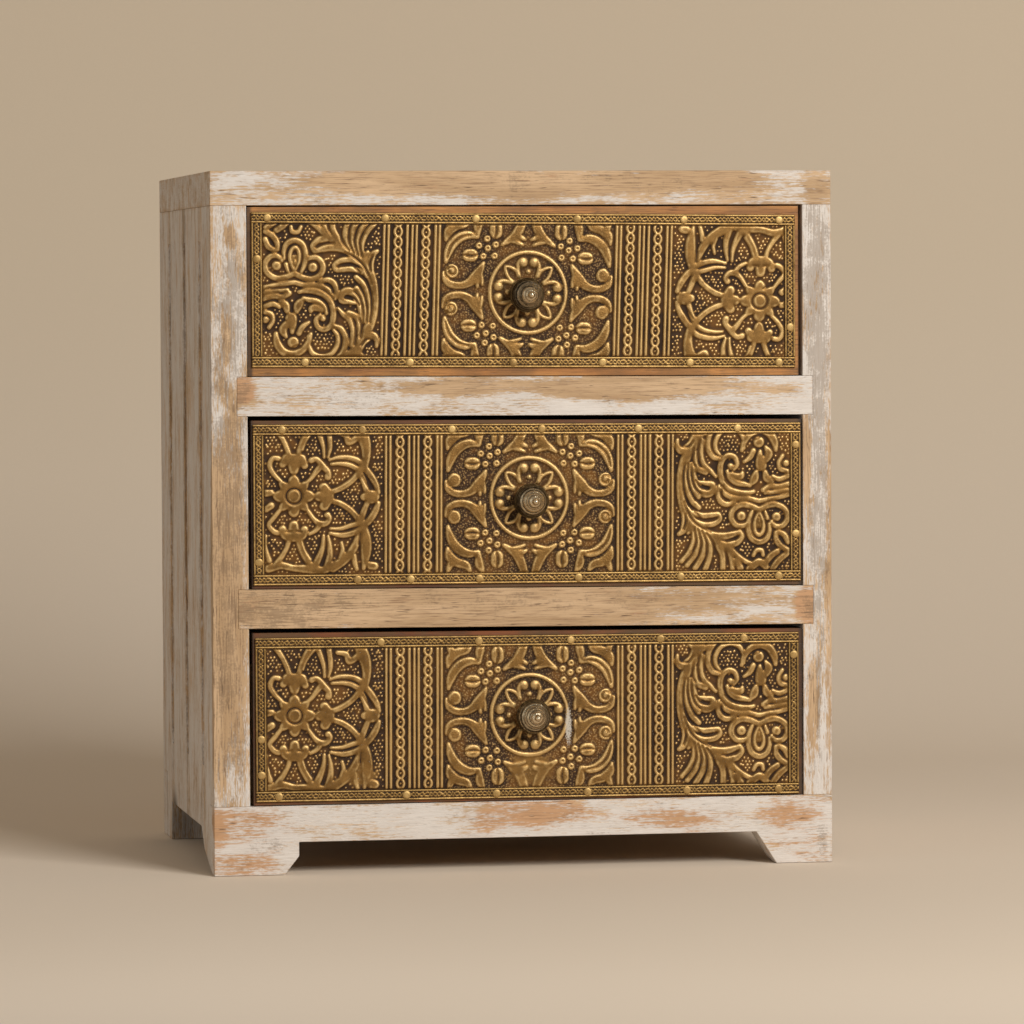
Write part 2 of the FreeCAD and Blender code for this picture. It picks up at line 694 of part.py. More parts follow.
for item in doc.Objects:
    if "Invalid" in item.State or "Error" in item.State:
        raise RuntimeError(f"{item.Name} failed to recompute: {item.State}")
for item in parts:
    if item.Shape.isNull() or not item.Shape.isValid():
        raise RuntimeError(f"{item.Label} has no valid shape")

os.makedirs("parts", exist_ok=True)
for item in parts:
    item.Shape.exportStep(f"parts/{item.Label}.step")
    solids = len(item.Shape.Solids)
    print(f"{item.Label}: {solids} solid, {item.Shape.Volume / 1000:.2f} cm3")
print(f"{len(parts)} sub-parts, chest {number(WIDTH):.1f} wide,"
      f" {number('Sizes.depth + ' + KNOB_REACH):.1f} deep with its knobs,"
      f" {number(SIDE_TOP + ' + Sizes.top_thick'):.1f} high")
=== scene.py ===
import math

import bmesh
import bpy
import numpy as np
from mathutils import Matrix, Vector


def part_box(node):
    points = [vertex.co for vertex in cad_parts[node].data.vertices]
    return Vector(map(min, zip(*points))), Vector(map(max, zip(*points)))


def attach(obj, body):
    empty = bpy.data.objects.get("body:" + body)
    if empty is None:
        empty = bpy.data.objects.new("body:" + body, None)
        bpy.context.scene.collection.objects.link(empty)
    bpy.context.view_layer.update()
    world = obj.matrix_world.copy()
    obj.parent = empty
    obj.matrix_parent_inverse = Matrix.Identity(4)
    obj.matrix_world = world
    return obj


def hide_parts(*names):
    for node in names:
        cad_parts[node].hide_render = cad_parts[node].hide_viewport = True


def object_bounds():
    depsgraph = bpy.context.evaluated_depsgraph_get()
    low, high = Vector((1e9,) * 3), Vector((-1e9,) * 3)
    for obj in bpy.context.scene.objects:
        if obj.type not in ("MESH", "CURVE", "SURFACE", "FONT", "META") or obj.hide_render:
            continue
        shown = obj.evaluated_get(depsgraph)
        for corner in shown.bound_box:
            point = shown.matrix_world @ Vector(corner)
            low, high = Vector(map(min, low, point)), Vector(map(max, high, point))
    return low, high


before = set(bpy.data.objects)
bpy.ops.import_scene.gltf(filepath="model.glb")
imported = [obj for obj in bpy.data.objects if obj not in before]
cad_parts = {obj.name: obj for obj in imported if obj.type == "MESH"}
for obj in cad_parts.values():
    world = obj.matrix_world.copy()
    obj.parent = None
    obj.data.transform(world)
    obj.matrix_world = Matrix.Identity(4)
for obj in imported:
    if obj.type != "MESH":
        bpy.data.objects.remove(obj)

cad_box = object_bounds()

# Camera: a long lens two metres off, a little to the left of the chest and a little above its middle.
MM = 0.001
SENSOR = 36.0
LENS = 188.55
NEAREST_SEEN = 0.05
FARTHEST_SEEN = 60.0
CAMERA_PLACE = Vector((-0.38019, -2.19329, 0.23092))
YAW = math.radians(10.0681)
PITCH = math.radians(2.3318)
ROLL = math.radians(-0.2884)

forward = Vector((math.sin(YAW) * math.cos(PITCH), math.cos(YAW) * math.cos(PITCH), -math.sin(PITCH)))
level_right = Vector((math.cos(YAW), -math.sin(YAW), 0.0))
level_up = level_right.cross(forward)
lens_right = level_right * math.cos(ROLL) + level_up * math.sin(ROLL)
lens_up = level_up * math.cos(ROLL) - level_right * math.sin(ROLL)
turn = Matrix((lens_right, lens_up, -forward)).transposed().to_4x4()
camera = bpy.data.objects.new("camera", bpy.data.cameras.new("camera"))
camera.data.sensor_width = SENSOR
camera.data.lens = LENS
camera.data.clip_start = NEAREST_SEEN
camera.data.clip_end = FARTHEST_SEEN
camera.matrix_world = Matrix.Translation(CAMERA_PLACE) @ turn
bpy.context.scene.collection.objects.link(camera)
bpy.context.scene.camera = camera
bpy.context.scene.view_settings.view_transform = "Standard"


# Sweep: one wide roll of beige paper, flat under the chest and curved up into a backdrop behind it.
# Its flat part is painted lighter than its upright part, as painted light. It is painted darker where it
# runs out in front, as painted shade where the key lamp lights the floor most. Only its face is coated, so
# from behind it is looked through.
SWEEP_WIDTH = 9.0
SWEEP_NEAR = -5.0
SWEEP_BEND_START = 0.42
SWEEP_BEND_RADIUS = 0.55
SWEEP_TOP = 3.4
SWEEP_ROUNDS = 24
SWEEP_DROP = 0.1 * MM
DARKENS_FROM = -0.4
DARK_BY = -1.0


def tint(red, green, blue):
    """A colour as a paint card gives it, 0 to 255, turned into a shader's linear colour."""
    channels = []
    for value in (red, green, blue):
        share = value / 255.0
        channels.append(share / 12.92 if share <= 0.04045 else ((share + 0.055) / 1.055) ** 2.4)
    return (*channels, 1.0)


def feed(tree, socket, value):
    """Links a socket into another, or writes a plain value on it."""
    if isinstance(value, bpy.types.NodeSocket):
        tree.links.new(value, socket)
    else:
        socket.default_value = value


def put(tree, kind, settings=None, **inputs):
    """Adds a shader node; inputs are named with underscores for spaces."""
    node = tree.nodes.new("ShaderNode" + kind)
    for name, value in (settings or {}).items():
        setattr(node, name, value)
    for name, value in inputs.items():
        feed(tree, node.inputs[name.replace("_", " ")], value)
    return node


def value_of(tree, operation, *values, clamp=False):
    """A Math node's result."""
    node = put(tree, "Math", {"operation": operation, "use_clamp": clamp})
    for socket, value in zip(node.inputs, values):
        feed(tree, socket, value)
    return node.outputs[0]


def times(tree, value, factor):
    """A value multiplied."""
    return value_of(tree, "MULTIPLY", value, factor)


def layered(tree, share, under, over, most=1.0):
    """One colour laid over another where share is high, and by no more than most."""
    node = put(tree, "Mix", {"data_type": "RGBA"})
    feed(tree, node.inputs[0], times(tree, share, most) if most < 1.0 else share)
    feed(tree, node.inputs[6], under)
    feed(tree, node.inputs[7], over)
    return node.outputs[2]


def eased_step(tree, value, low, high):
    """0 below low, 1 above high and a soft rise between."""
    node = put(tree, "MapRange", {"interpolation_type": "SMOOTHSTEP"})
    feed(tree, node.inputs["Value"], value)
    feed(tree, node.inputs["From Min"], low)
    feed(tree, node.inputs["From Max"], high)
    return node.outputs[0]


def noise(tree, vector, scale, detail=3.0, roughness=0.55, distortion=0.0):
    """A noise value over that vector."""
    node = put(tree, "TexNoise", Vector=vector, Scale=scale, Detail=detail, Roughness=roughness,
               Distortion=distortion)
    return node.outputs[0]


def new_material(name):
    """A material with its Principled surface. Returns the material, its tree and the shader."""
    material = bpy.data.materials.new(name)
    material.use_nodes = True
    tree = material.node_tree
    return material, tree, tree.nodes["Principled BSDF"]


def shown(name, mesh):
    """A new object with that mesh, linked into the scene."""
    obj = bpy.data.objects.new(name, mesh)
    bpy.context.scene.collection.objects.link(obj)
    return obj


def smooth_object(name, vertices, faces, material):
    """A smooth mesh object from plain lists."""
    mesh = bpy.data.meshes.new(name)
    mesh.from_pydata(vertices, [], faces)
    mesh.materials.append(material)
    mesh.polygons.foreach_set("use_smooth", [True] * len(mesh.polygons))
    mesh.update()
    return shown(name, mesh)


def sweep_profile():
    """The paper's side view, from its near end, round the bend, to its top."""
    line = [(SWEEP_NEAR, 0.0), (0.0, 0.0)]
    for step in range(SWEEP_ROUNDS + 1):
        angle = math.radians(90.0) * step / SWEEP_ROUNDS
        out = SWEEP_BEND_START + SWEEP_BEND_RADIUS * math.sin(angle)
        line.append((out, SWEEP_BEND_RADIUS * (1.0 - math.cos(angle))))
    line.append((SWEEP_BEND_START + SWEEP_BEND_RADIUS, SWEEP_TOP))
    return line


# The flat and upright colours are lit and shaded copies of one paper, as painted light; the dark one is
# painted shade for the floor in front.
PAPER_FLAT_LIT = tint(226, 211, 193)
PAPER_UPRIGHT_SHADED = tint(221, 204, 180)
PAPER_PAINTED_SHADE = tint(116, 107, 95)
PAPER_MOTTLE = tint(212, 195, 172)
PAPER_FLECK = tint(150, 132, 110)

paper, tree, shader = new_material("backdrop_paper")
shader.inputs["Roughness"].default_value = 0.9
shader.inputs["Specular IOR Level"].default_value = 0.1
place = put(tree, "TexCoord").outputs["Object"]
_, out, up = put(tree, "SeparateXYZ", Vector=place).outputs
mottle = eased_step(tree, noise(tree, place, 1.6, 2.0), 0.3, 0.7)
# Painted light and shade: lighter on the flat, and darker where the floor runs out in front.
colour = layered(tree, eased_step(tree, up, 0.0, 0.3), PAPER_FLAT_LIT, PAPER_UPRIGHT_SHADED)
colour = layered(tree, eased_step(tree, out, DARKENS_FROM, DARK_BY), colour, PAPER_PAINTED_SHADE)
colour = layered(tree, mottle, colour, PAPER_MOTTLE, 0.3)
colour = layered(tree, noise(tree, place, 900.0, 2.0), colour, PAPER_FLECK, 0.06)
tree.links.new(colour, shader.inputs["Base Color"])
sides = put(tree, "MixShader")
tree.links.new(put(tree, "NewGeometry").outputs["Backfacing"], sides.inputs[0])
tree.links.new(shader.outputs[0], sides.inputs[1])
tree.links.new(put(tree, "BsdfTransparent").outputs[0], sides.inputs[2])
tree.links.new(sides.outputs[0], tree.nodes["Material Output"].inputs["Surface"])

vertices = []
faces = []
for out, up in sweep_profile():
    vertices += [(-SWEEP_WIDTH / 2, out, up), (SWEEP_WIDTH / 2, out, up)]
for row in range(len(vertices) // 2 - 1):
    faces.append((2 * row, 2 * row + 1, 2 * row + 3, 2 * row + 2))
sweep = smooth_object("sweep", vertices, faces, paper)
sweep.location = (0.0, 0.0, -SWEEP_DROP)
sweep.rotation_euler = (0.0, 0.0, -YAW)


# Lamps: one soft box high on the right, a weak wide one on the left, another behind, and the room's even
# light.
LAMP_AIM = Vector((0.0, 0.0, 0.14))
ROOM_COLOUR = tint(232, 225, 215)
ROOM_LIGHT = 0.31


def lamp(name, azimuth, elevation, distance, size, power, colour):
    """A square soft box aimed at the middle of the chest. Azimuth 0 is straight in front, 90 the right."""
    light = bpy.data.lights.new(name, "AREA")
    light.shape = "SQUARE"
    light.size = size
    light.energy = power
    light.color = colour
    around = math.radians(azimuth)
    above = math.radians(elevation)
    level = math.cos(above)
    away = Vector((math.sin(around) * level, -math.cos(around) * level, math.sin(above)))
    obj = bpy.data.objects.new(name, light)
    obj.location = LAMP_AIM + away * distance
    obj.rotation_mode = "QUATERNION"
    obj.rotation_quaternion = (-away).to_track_quat("-Z", "Y")
    bpy.context.scene.collection.objects.link(obj)


lamp("key_soft_box", 24.0, 27.0, 2.0, 0.8, 32.5, (1.0, 0.99, 0.97))
lamp("left_fill", -66.0, 15.0, 2.6, 1.6, 6.2, (1.0, 0.97, 0.92))
lamp("rear_fill", 165.0, 40.0, 2.6, 1.4, 7.0, (1.0, 0.98, 0.95))
world = bpy.data.worlds.new("room")
world.use_nodes = True
room = world.node_tree.nodes["Background"]
room.inputs["Color"].default_value = ROOM_COLOUR
room.inputs["Strength"].default_value = ROOM_LIGHT
bpy.context.scene.world = world


# Chest boards: mango wood, sawn flat, washed over with white lime paint and rubbed back by hand until the
# wood and an orange undercoat show through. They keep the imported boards' shapes, with their arrises eased.
CHEST_ORIGIN = Vector((cad_box[0].x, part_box("top_board")[0].y, 0.0))
ARRIS_EASE = 0.32 * MM
ARRIS_SEGMENTS = 2
SHORTEST_ARRIS = 0.6 * MM
ARRIS_ANGLE = math.radians(30.0)
CREASE_ANGLE = math.radians(50.0)
FLAT_ANGLE = math.radians(0.3)
WELD = 0.001 * MM
WORN_IN = 1.3
ALONG_X = (1.0, 0.0, 0.0)
ALONG_Y = (0.0, 1.0, 0.0)
ALONG_Z = (0.0, 0.0, 1.0)


def vector_of(tree, operation, *values):
    """A Vector Math node's result."""
    node = put(tree, "VectorMath", {"operation": operation})
    for socket, value in zip(node.inputs, values):
        feed(tree, socket, value)
    return node.outputs["Value" if operation == "LENGTH" else "Vector"]


def plus(tree, first, *others):
    """Values added up."""
    for value in others:
        first = value_of(tree, "ADD", first, value)
    return first


def swung(tree, value, reach):
    """A value from 0 to 1 spread over that reach, half of it below zero."""
    return value_of(tree, "MULTIPLY_ADD", value, reach, -reach / 2)


def new_group(name, inputs, outputs):
    """An empty shader node group with named sockets. Returns the group, its inputs and its output node."""
    group = bpy.data.node_groups.new(name, "ShaderNodeTree")
    for label, kind in inputs.items():
        group.interface.new_socket(label, in_out="INPUT", socket_type="NodeSocket" + kind)
    for label in outputs:
        group.interface.new_socket(label, in_out="OUTPUT", socket_type="NodeSocketFloat")
    return group, group.nodes.new("NodeGroupInput").outputs, group.nodes.new("NodeGroupOutput").inputs


def placed(tree, group, **inputs):
    """A group set into a material, with its inputs linked or written."""
    node = tree.nodes.new("ShaderNodeGroup")
    node.node_tree = group
    for name, value in inputs.items():
        feed(tree, node.inputs[name], value)
    return node.outputs


def chest_place(tree):
    """A point of the chest in millimetres, from its left side, its front and the floor."""
    place = put(tree, "TexCoord").outputs["Object"]
    moved = vector_of(tree, "SUBTRACT", place, CHEST_ORIGIN)
    return vector_of(tree, "MULTIPLY", moved, (1.0 / MM,) * 3)


def seeded(tree, place, seed):
    """A place moved off by its seed, so that no two boards or sheets take the same noise."""
    shift = put(tree, "CombineXYZ", X=seed, Y=seed, Z=seed).outputs[0]
    return vector_of(tree, "ADD", place, shift)


# Grain: drawn-out figure, short dark pores and fine fibres along the given direction.
wood_grain, given, gives = new_group(
    "wood grain", {"Place": "Vector", "Along": "Vector", "Seed": "Float"}, ["Figure", "Pores", "Fibre"]
)
tree = wood_grain
across = vector_of(tree, "SUBTRACT", (1.0, 1.0, 1.0), given["Along"])


def drawn_out(along_scale, across_scale):
    """The place, squeezed along the grain so that noise over it comes out as streaks."""
    long_way = vector_of(tree, "MULTIPLY", given["Along"], (along_scale,) * 3)
    short_way = vector_of(tree, "MULTIPLY", across, (across_scale,) * 3)
    scale = vector_of(tree, "ADD", long_way, short_way)
    return seeded(tree, vector_of(tree, "MULTIPLY", given["Place"], scale), given["Seed"])


tree.links.new(noise(tree, drawn_out(0.016, 0.13), 1.0, 4.0, 0.55, 0.9), gives["Figure"])
pores = noise(tree, drawn_out(0.11, 1.25), 1.0, 2.0, 0.6, 0.2)
tree.links.new(eased_step(tree, pores, 0.61, 0.74), gives["Pores"])
tree.links.new(noise(tree, drawn_out(0.06, 1.7), 1.0, 4.0, 0.7, 0.15), gives["Fibre"])

# Patch: a soft-edged oval where a hand has rubbed or painted more.
rubbed_patch, given, gives = new_group(
    "rubbed patch", {"Place": "Vector", "Centre": "Vector", "Reach": "Vector", "Amount": "Float"}, ["Patch"]
)
tree = rubbed_patch
offset = vector_of(tree, "SUBTRACT", given["Place"], given["Centre"])
spread = vector_of(tree, "LENGTH", vector_of(tree, "DIVIDE", offset, given["Reach"]))
inside = eased_step(tree, value_of(tree, "SUBTRACT", 1.0, spread, clamp=True), 0.0, 0.8)
tree.links.new(times(tree, inside, given["Amount"]), gives["Patch"])

# Arris: 1 along the edges of a board's box, falling to 0 within its reach.
worn_arris, given, gives = new_group(
    "worn arris", {"Place": "Vector", "Low": "Vector", "High": "Vector", "Reach": "Float"}, ["Arris"]
)
tree = worn_arris
from_low = vector_of(tree, "SUBTRACT", given["Place"], given["Low"])
from_high = vector_of(tree, "SUBTRACT", given["High"], given["Place"])
x, y, z = put(tree, "SeparateXYZ", Vector=vector_of(tree, "MINIMUM", from_low, from_high)).outputs
middle = value_of(tree, "MAXIMUM", value_of(tree, "MINIMUM", x, y),
                  value_of(tree, "MINIMUM", value_of(tree, "MAXIMUM", x, y), z))
away = value_of(tree, "DIVIDE", middle, given["Reach"])
tree.links.new(value_of(tree, "SUBTRACT", 1.0, away, clamp=True), gives["Arris"])

# Lime wash: where paint is left, from how much was left on and the streaks the rubbing follows.
lime_wash, given, gives = new_group(
    "lime wash", {"Place": "Vector", "Cover": "Float", "Fibre": "Float", "Seed": "Float"}, ["Paint", "Thick"]
)
tree = lime_wash
place = seeded(tree, given["Place"], given["Seed"])
blotch = noise(tree, place, 0.11, 4.0, 0.6, 0.4)
crumb = noise(tree, place, 1.1, 3.0, 0.6)
level = plus(tree, given["Cover"], swung(tree, blotch, 1.7), swung(tree, crumb, 1.1),
             swung(tree, given["Fibre"], 1.9))
tree.links.new(eased_step(tree, level, 0.28, 0.68), gives["Paint"])
tree.links.new(eased_step(tree, level, 0.30, 1.0), gives["Thick"])

BARE_LIGHT = tint(205, 173, 136)
BARE_DARK = tint(178, 146, 109)
BARE_LINE = tint(132, 102, 74)
PORE = tint(98, 74, 54)
UNDERCOAT = tint(192, 147, 108)
LIME = tint(224, 217, 209)
LIME_WORN = tint(202, 191, 180)
GRIME = tint(122, 100, 76)
# Near-black brown, for painted shade in shadowed corners and edges, and for one dark streak.
SHADE_AND_STREAK_BROWN = tint(58, 44, 32)


def patches(tree, place, spots, most=None):
    """All of a board's patches added up, each a centre, a reach and an amount, and held to most."""
    total = 0.0
    for centre, reach, amount in spots:
        patch = placed(tree, rubbed_patch, Place=place, Centre=centre, Reach=reach, Amount=amount)["Patch"]
        total = plus(tree, total, patch)
    return total if most is None else value_of(tree, "MINIMUM", total, most)


def surfaced(tree, shader, colour, roughness, height, strength, depth):
    """Joins colour, roughness and bump to a material's shader."""
    tree.links.new(colour, shader.inputs["Base Color"])
    tree.links.new(roughness, shader.inputs["Roughness"])
    bump = put(tree, "Bump", Height=height, Strength=strength, Distance=depth)
    tree.links.new(bump.outputs[0], shader.inputs["Normal"])


def chest_box(node):
    """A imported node's lowest and highest corner in chest millimetres."""
    low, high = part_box(node)
    return tuple((low - CHEST_ORIGIN) / MM), tuple((high - CHEST_ORIGIN) / MM)


def limed_wood(node, board):
    """Lime-washed wood for one board: bare lists where the wash is rubbed off, orange where the undercoat
    shows and dirt where grey grime has settled. The last list paints patches nearly black: painted shade
    where the board sits in shadow, and one dark streak."""
    material, tree, shader = new_material("limed_" + node)
    place = chest_place(tree)
    low, high = chest_box(node)
    along, seed = board["along"], board["seed"]
    grain = placed(tree, wood_grain, Place=place, Along=along, Seed=seed)
    fibre, pores = grain["Fibre"], grain["Pores"]
    streaked = vector_of(tree, "MULTIPLY", place, tuple(0.3 if part else 1.3 for part in along))

    def wash(place, cover, own_seed):
        """One coat of paint or dirt."""
        return placed(tree, lime_wash, Place=place, Cover=cover, Fibre=fibre, Seed=seed + own_seed)

    arris = placed(tree, worn_arris, Place=place, Low=low, High=high, Reach=WORN_IN)["Arris"]
    left_on = value_of(tree, "SUBTRACT", board["cover"], patches(tree, place, board.get("bare", ())))
    left_on = value_of(tree, "SUBTRACT", left_on, times(tree, arris, 0.15))
    lime = wash(streaked, left_on, 0.0)
    under = wash(streaked, patches(tree, place, board.get("orange", ())), 31.0)
    smear = wash(place, patches(tree, place, board["dirt"]), 67.0)

    wood = layered(tree, eased_step(tree, grain["Figure"], 0.3, 0.7), BARE_LIGHT, BARE_DARK)
    wood = layered(tree, under["Paint"], wood, UNDERCOAT, 0.85)
    wood = layered(tree, eased_step(tree, fibre, 0.46, 0.66), wood, BARE_LINE, 0.7)
    wood = layered(tree, pores, wood, PORE, 0.85)
    paint = layered(tree, eased_step(tree, fibre, 0.35, 0.75), LIME, LIME_WORN, 0.8)
    colour = layered(tree, lime["Paint"], wood, paint, 0.93)
    colour = layered(tree, smear["Paint"], colour, GRIME, 0.48)
    colour = layered(tree, pores, colour, GRIME, 0.28)
    # Painted shade: patches painted nearly black where the board sits in shadow, and one dark streak.
    if "shade_and_streaks" in board:
        colour = layered(tree, patches(tree, place, board["shade_and_streaks"], 0.9), colour, SHADE_AND_STREAK_BROWN)
    roughness = value_of(tree, "MULTIPLY_ADD", lime["Paint"], 0.16, 0.62)
    height = plus(tree, times(tree, lime["Thick"], 0.55), times(tree, pores, -0.45),
                  times(tree, fibre, 0.35))
    surfaced(tree, shader, colour, roughness, height, 0.7, 0.22 * MM)
    shader.inputs["Specular IOR Level"].default_value = 0.3
    return material


def eased_board(node, material):
    """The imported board's shape with its long arrises rubbed round, in its place."""
    board = bmesh.new()
    board.from_mesh(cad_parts[node].data)
    bmesh.ops.remove_doubles(board, verts=board.verts, dist=WELD)
    bmesh.ops.dissolve_limit(board, angle_limit=FLAT_ANGLE, verts=board.verts, edges=board.edges)
    arrises = []
    for edge in board.edges:
        sharp = len(edge.link_faces) == 2 and edge.calc_face_angle() > ARRIS_ANGLE
        if sharp and edge.calc_length() > SHORTEST_ARRIS:
            arrises.append(edge)
    bmesh.ops.bevel(board, geom=arrises, offset=ARRIS_EASE, offset_type="OFFSET", segments=ARRIS_SEGMENTS,
                    profile=0.5, affect="EDGES", clamp_overlap=False)
    mesh = bpy.data.meshes.new(node + "_limed")
    board.to_mesh(mesh)
    board.free()
    mesh.materials.append(material)
    mesh.shade_smooth()
    mesh.set_sharp_from_angle(angle=CREASE_ANGLE)
    obj = shown(node + "_limed", mesh)
    flat = obj.modifiers.new("flat faces", "WEIGHTED_NORMAL")
    flat.keep_sharp = True
    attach(obj, "carcass")
    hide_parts(node)


FLUTES = (36.5, 90.0, 143.5)


def down_flutes(x, reach, marks):
    """A patch down each flute of a side board; marks hold each one's middle height and amount."""
    return [((x, y, z), reach, amount) for y, (z, amount) in zip(FLUTES, marks)]


BOARDS = {
    "top_board": {
        "along": ALONG_X,
        "cover": 0.55,
        "seed": 3.0,
        "bare": [
            ((112, 0, 275), (100, 12, 8), 0.85),
            ((75, 0, 276), (50, 12, 7), 0.5),
            ((196, 0, 276), (44, 12, 7), 0.7),
            ((246, 0, 272), (9, 12, 9), 0.5),
            ((120, 90, 280), (120, 80, 6), 0.35),
        ],
        "dirt": [((150, 0, 276), (110, 6, 6), 0.25)],
    },
    "left_side_board": {
        "along": ALONG_Z,
        "cover": 0.62,
        "seed": 11.0,
        "bare": [
            ((5, 0, 120), (14, 8, 96), 0.72),
            ((6, 0, 75), (14, 8, 60), 0.3),
            ((8, 0, 254), (3.5, 8, 7), 0.6),
            ((7, 0, 217), (4, 8, 22), 0.55),
            *down_flutes(0, (3, 10, 200), ((150, 0.25), (150, 0.3), (150, 0.2))),
        ],
        "dirt": [
            ((7, 0, 150), (14, 6, 190), 0.5),
            ((10, 0, 235), (6, 6, 40), 0.3),
            # Grime down the flutes: partly real dirt and partly painted shade in the grooves.
            *down_flutes(0, (4, 14, 260), ((130, 0.4), (150, 0.6), (150, 0.4))),
        ],
        # The first patch is painted shadow on the rear foot's front face; the second is a dark streak down
        # the middle flute near the top.
        "shade_and_streaks": [((5, 138, 6), (16, 18, 22), 1.4), ((0, 90, 240), (4, 3.2, 30), 0.6)],
    },
    "right_side_board": {
        "along": ALONG_Z,
        "cover": 0.72,
        "seed": 23.0,
        "bare": [
            ((242, 0, 165), (2.4, 8, 34), 0.5),
            ((244, 0, 58), (4, 8, 34), 0.62),
            ((251, 0, 120), (2.5, 8, 110), 0.45),
            ((246, 0, 276), (9, 8, 12), 0.4),
            *down_flutes(252, (3, 7, 160), ((150, 0.5), (150, 0.55), (150, 0.45))),
        ],
        "orange": [((246, 0, 43), (3, 6, 12), 0.35)],
        "dirt": [
            ((246, 0, 225), (9, 6, 75), 0.75),
            ((247, 0, 130), (7, 6, 90), 0.6),
            ((246.5, 0, 62), (1.8, 6, 34), 0.6),
        ],
    },
    "upper_front_rail": {
        "along": ALONG_X,
        "cover": 0.64,
        "seed": 41.0,
        "bare": [
            ((172, 0, 193), (62, 12, 7.5), 0.95),
            ((12, 0, 193), (9, 12, 9), 0.6),
            ((95, 0, 194), (55, 12, 5), 0.6),
            ((232, 0, 192), (14, 12, 2.5), 0.35),
        ],
        "orange": [((12, 0, 193), (9, 12, 9), 1.2), ((155, 0, 185), (6, 12, 1.6), 0.6)],
        "dirt": [((45, 0, 190), (40, 6, 6), 0.2), ((12, 0, 193), (7, 6, 8), 0.7)],
    },
    "lower_front_rail": {
        "along": ALONG_X,
        "cover": 0.5,
        "seed": 59.0,
        "bare": [
            ((110, 0, 106), (128, 12, 16), 1.0),
            ((20, 0, 106), (30, 12, 14), 0.6),
            ((243, 0, 105), (9, 12, 11), 0.6),
        ],
        "orange": [((243, 0, 105), (10, 12, 12), 1.5), ((14, 0, 105), (10, 12, 10), 0.35)],
        "dirt": [
            ((120, 0, 108), (120, 6, 7), 0.3),
            ((243, 0, 104), (7, 6, 9), 0.7),
            ((20, 0, 105), (50, 6, 14), 0.55),
        ],
    },
    "front_apron": {
        "along": ALONG_X,
        "cover": 0.74,
        "seed": 71.0,
        "bare": [
            ((128, 0, 22), (38, 12, 9), 0.47),
            ((186, 0, 19), (36, 12, 6), 0.42),
            ((236, 0, 20), (22, 12, 6), 0.44),
            ((8, 0, 21), (24, 12, 8), 0.42),
            ((2, 0, 18), (5, 12, 12), 0.35),
            ((12, 0, 5), (20, 12, 6), 0.6),
            ((240, 0, 3), (14, 12, 4), 0.2),
        ],
        "orange": [
            ((128, 0, 21), (40, 14, 14), 1.1),
            ((186, 0, 19), (40, 14, 9), 1.0),
            ((238, 0, 19), (26, 14, 14), 1.1),
            ((12, 0, 20), (32, 14, 16), 1.1),
            ((11, 0, 6), (26, 14, 12), 1.0),
            ((236, 0, 5), (24, 14, 12), 0.72),
        ],
        "dirt": [((22, 0, 12), (12, 6, 5), 0.5), ((248, 0, 8), (4, 6, 12), 0.6)],
    },
    "rear_apron": {
        "along": ALONG_X,
        "cover": 0.66,
        "seed": 83.0,
        "orange": [((60, 180, 20), (44, 5, 8), 0.8)],
        "dirt": [((126, 180, 14), (120, 6, 8), 0.3)],
        # Painted shade over the whole inner face, which sits in the chest's shadow.
        "shade_and_streaks": [((126, 158, 20), (400, 12, 40), 1.6)],
    },
}
for node, board in BOARDS.items():
    eased_board(node, limed_wood(node, board))


# Inside of the chest: thin plywood shelves, bottom and back, left bare, and the steel pins in the back. The
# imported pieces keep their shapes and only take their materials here.
PLY_LIGHT = tint(205, 172, 130)
PLY_DARK = tint(176, 140, 98)
STEEL_CLEAN = tint(168, 166, 160)
STEEL_DULL = tint(112, 106, 98)


def plain_wood(name, along, light, dark, seed, pore=PORE, roughness=0.68, streaks=0.3, stain=None,
               stain_amount=0.0, shade_and_streaks=()):
    """Bare or stained wood without paint. Its last list gives patches painted nearly black, as painted shade
    where the wood sits in shadow.
    """
    material, tree, shader = new_material(name)
    place = chest_place(tree)
    grain = placed(tree, wood_grain, Place=place, Along=along, Seed=seed)
    fibre, pores = grain["Fibre"], grain["Pores"]
    colour = layered(tree, eased_step(tree, grain["Figure"], 0.3, 0.7), light, dark)
    colour = layered(tree, pores, colour, pore, 0.6)
    colour = layered(tree, eased_step(tree, fibre, 0.4, 0.8), colour, pore, streaks)
    if stain:
        cloud = noise(tree, vector_of(tree, "ADD", place, (seed,) * 3), 0.045, 4.0, 0.6, 0.5)
        colour = layered(tree, eased_step(tree, cloud, 0.38, 0.62), colour, stain, stain_amount)
    # Painted shade: patches painted nearly black where the wood sits in shadow.
    if shade_and_streaks:
        colour = layered(tree, patches(tree, place, shade_and_streaks, 0.8), colour, SHADE_AND_STREAK_BROWN)
    rough = value_of(tree, "MULTIPLY_ADD", fibre, 0.14, roughness - 0.07)
    height = plus(tree, times(tree, pores, -0.5), times(tree, fibre, 0.4))
    surfaced(tree, shader, colour, rough, height, 0.6, 0.18 * MM)
    shader.inputs["Specular IOR Level"].default_value = 0.3
    return material


def dress(node, material):
    """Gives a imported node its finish."""
    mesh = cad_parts[node].data
    mesh.materials.clear()
    mesh.materials.append(material)


ply_across = plain_wood("plywood_across", ALONG_X, PLY_LIGHT, PLY_DARK, 101.0)
ply_upright = plain_wood("plywood_upright", ALONG_Z, PLY_LIGHT, PLY_DARK, 107.0)
steel, tree, shader = new_material("zinc_plated_steel")
smut = noise(tree, chest_place(tree), 0.9, 4.0)
tree.links.new(layered(tree, eased_step(tree, smut, 0.4, 0.7), STEEL_CLEAN, STEEL_DULL),
               shader.inputs["Base Color"])
tree.links.new(value_of(tree, "MULTIPLY_ADD", smut, 0.3, 0.25), shader.inputs["Roughness"])
shader.inputs["Metallic"].default_value = 0.9
for node in ("upper_shelf", "lower_shelf", "bottom_board"):
    dress(node, ply_across)
dress("back_panel", ply_upright)
dress("back_panel_pins", steel)


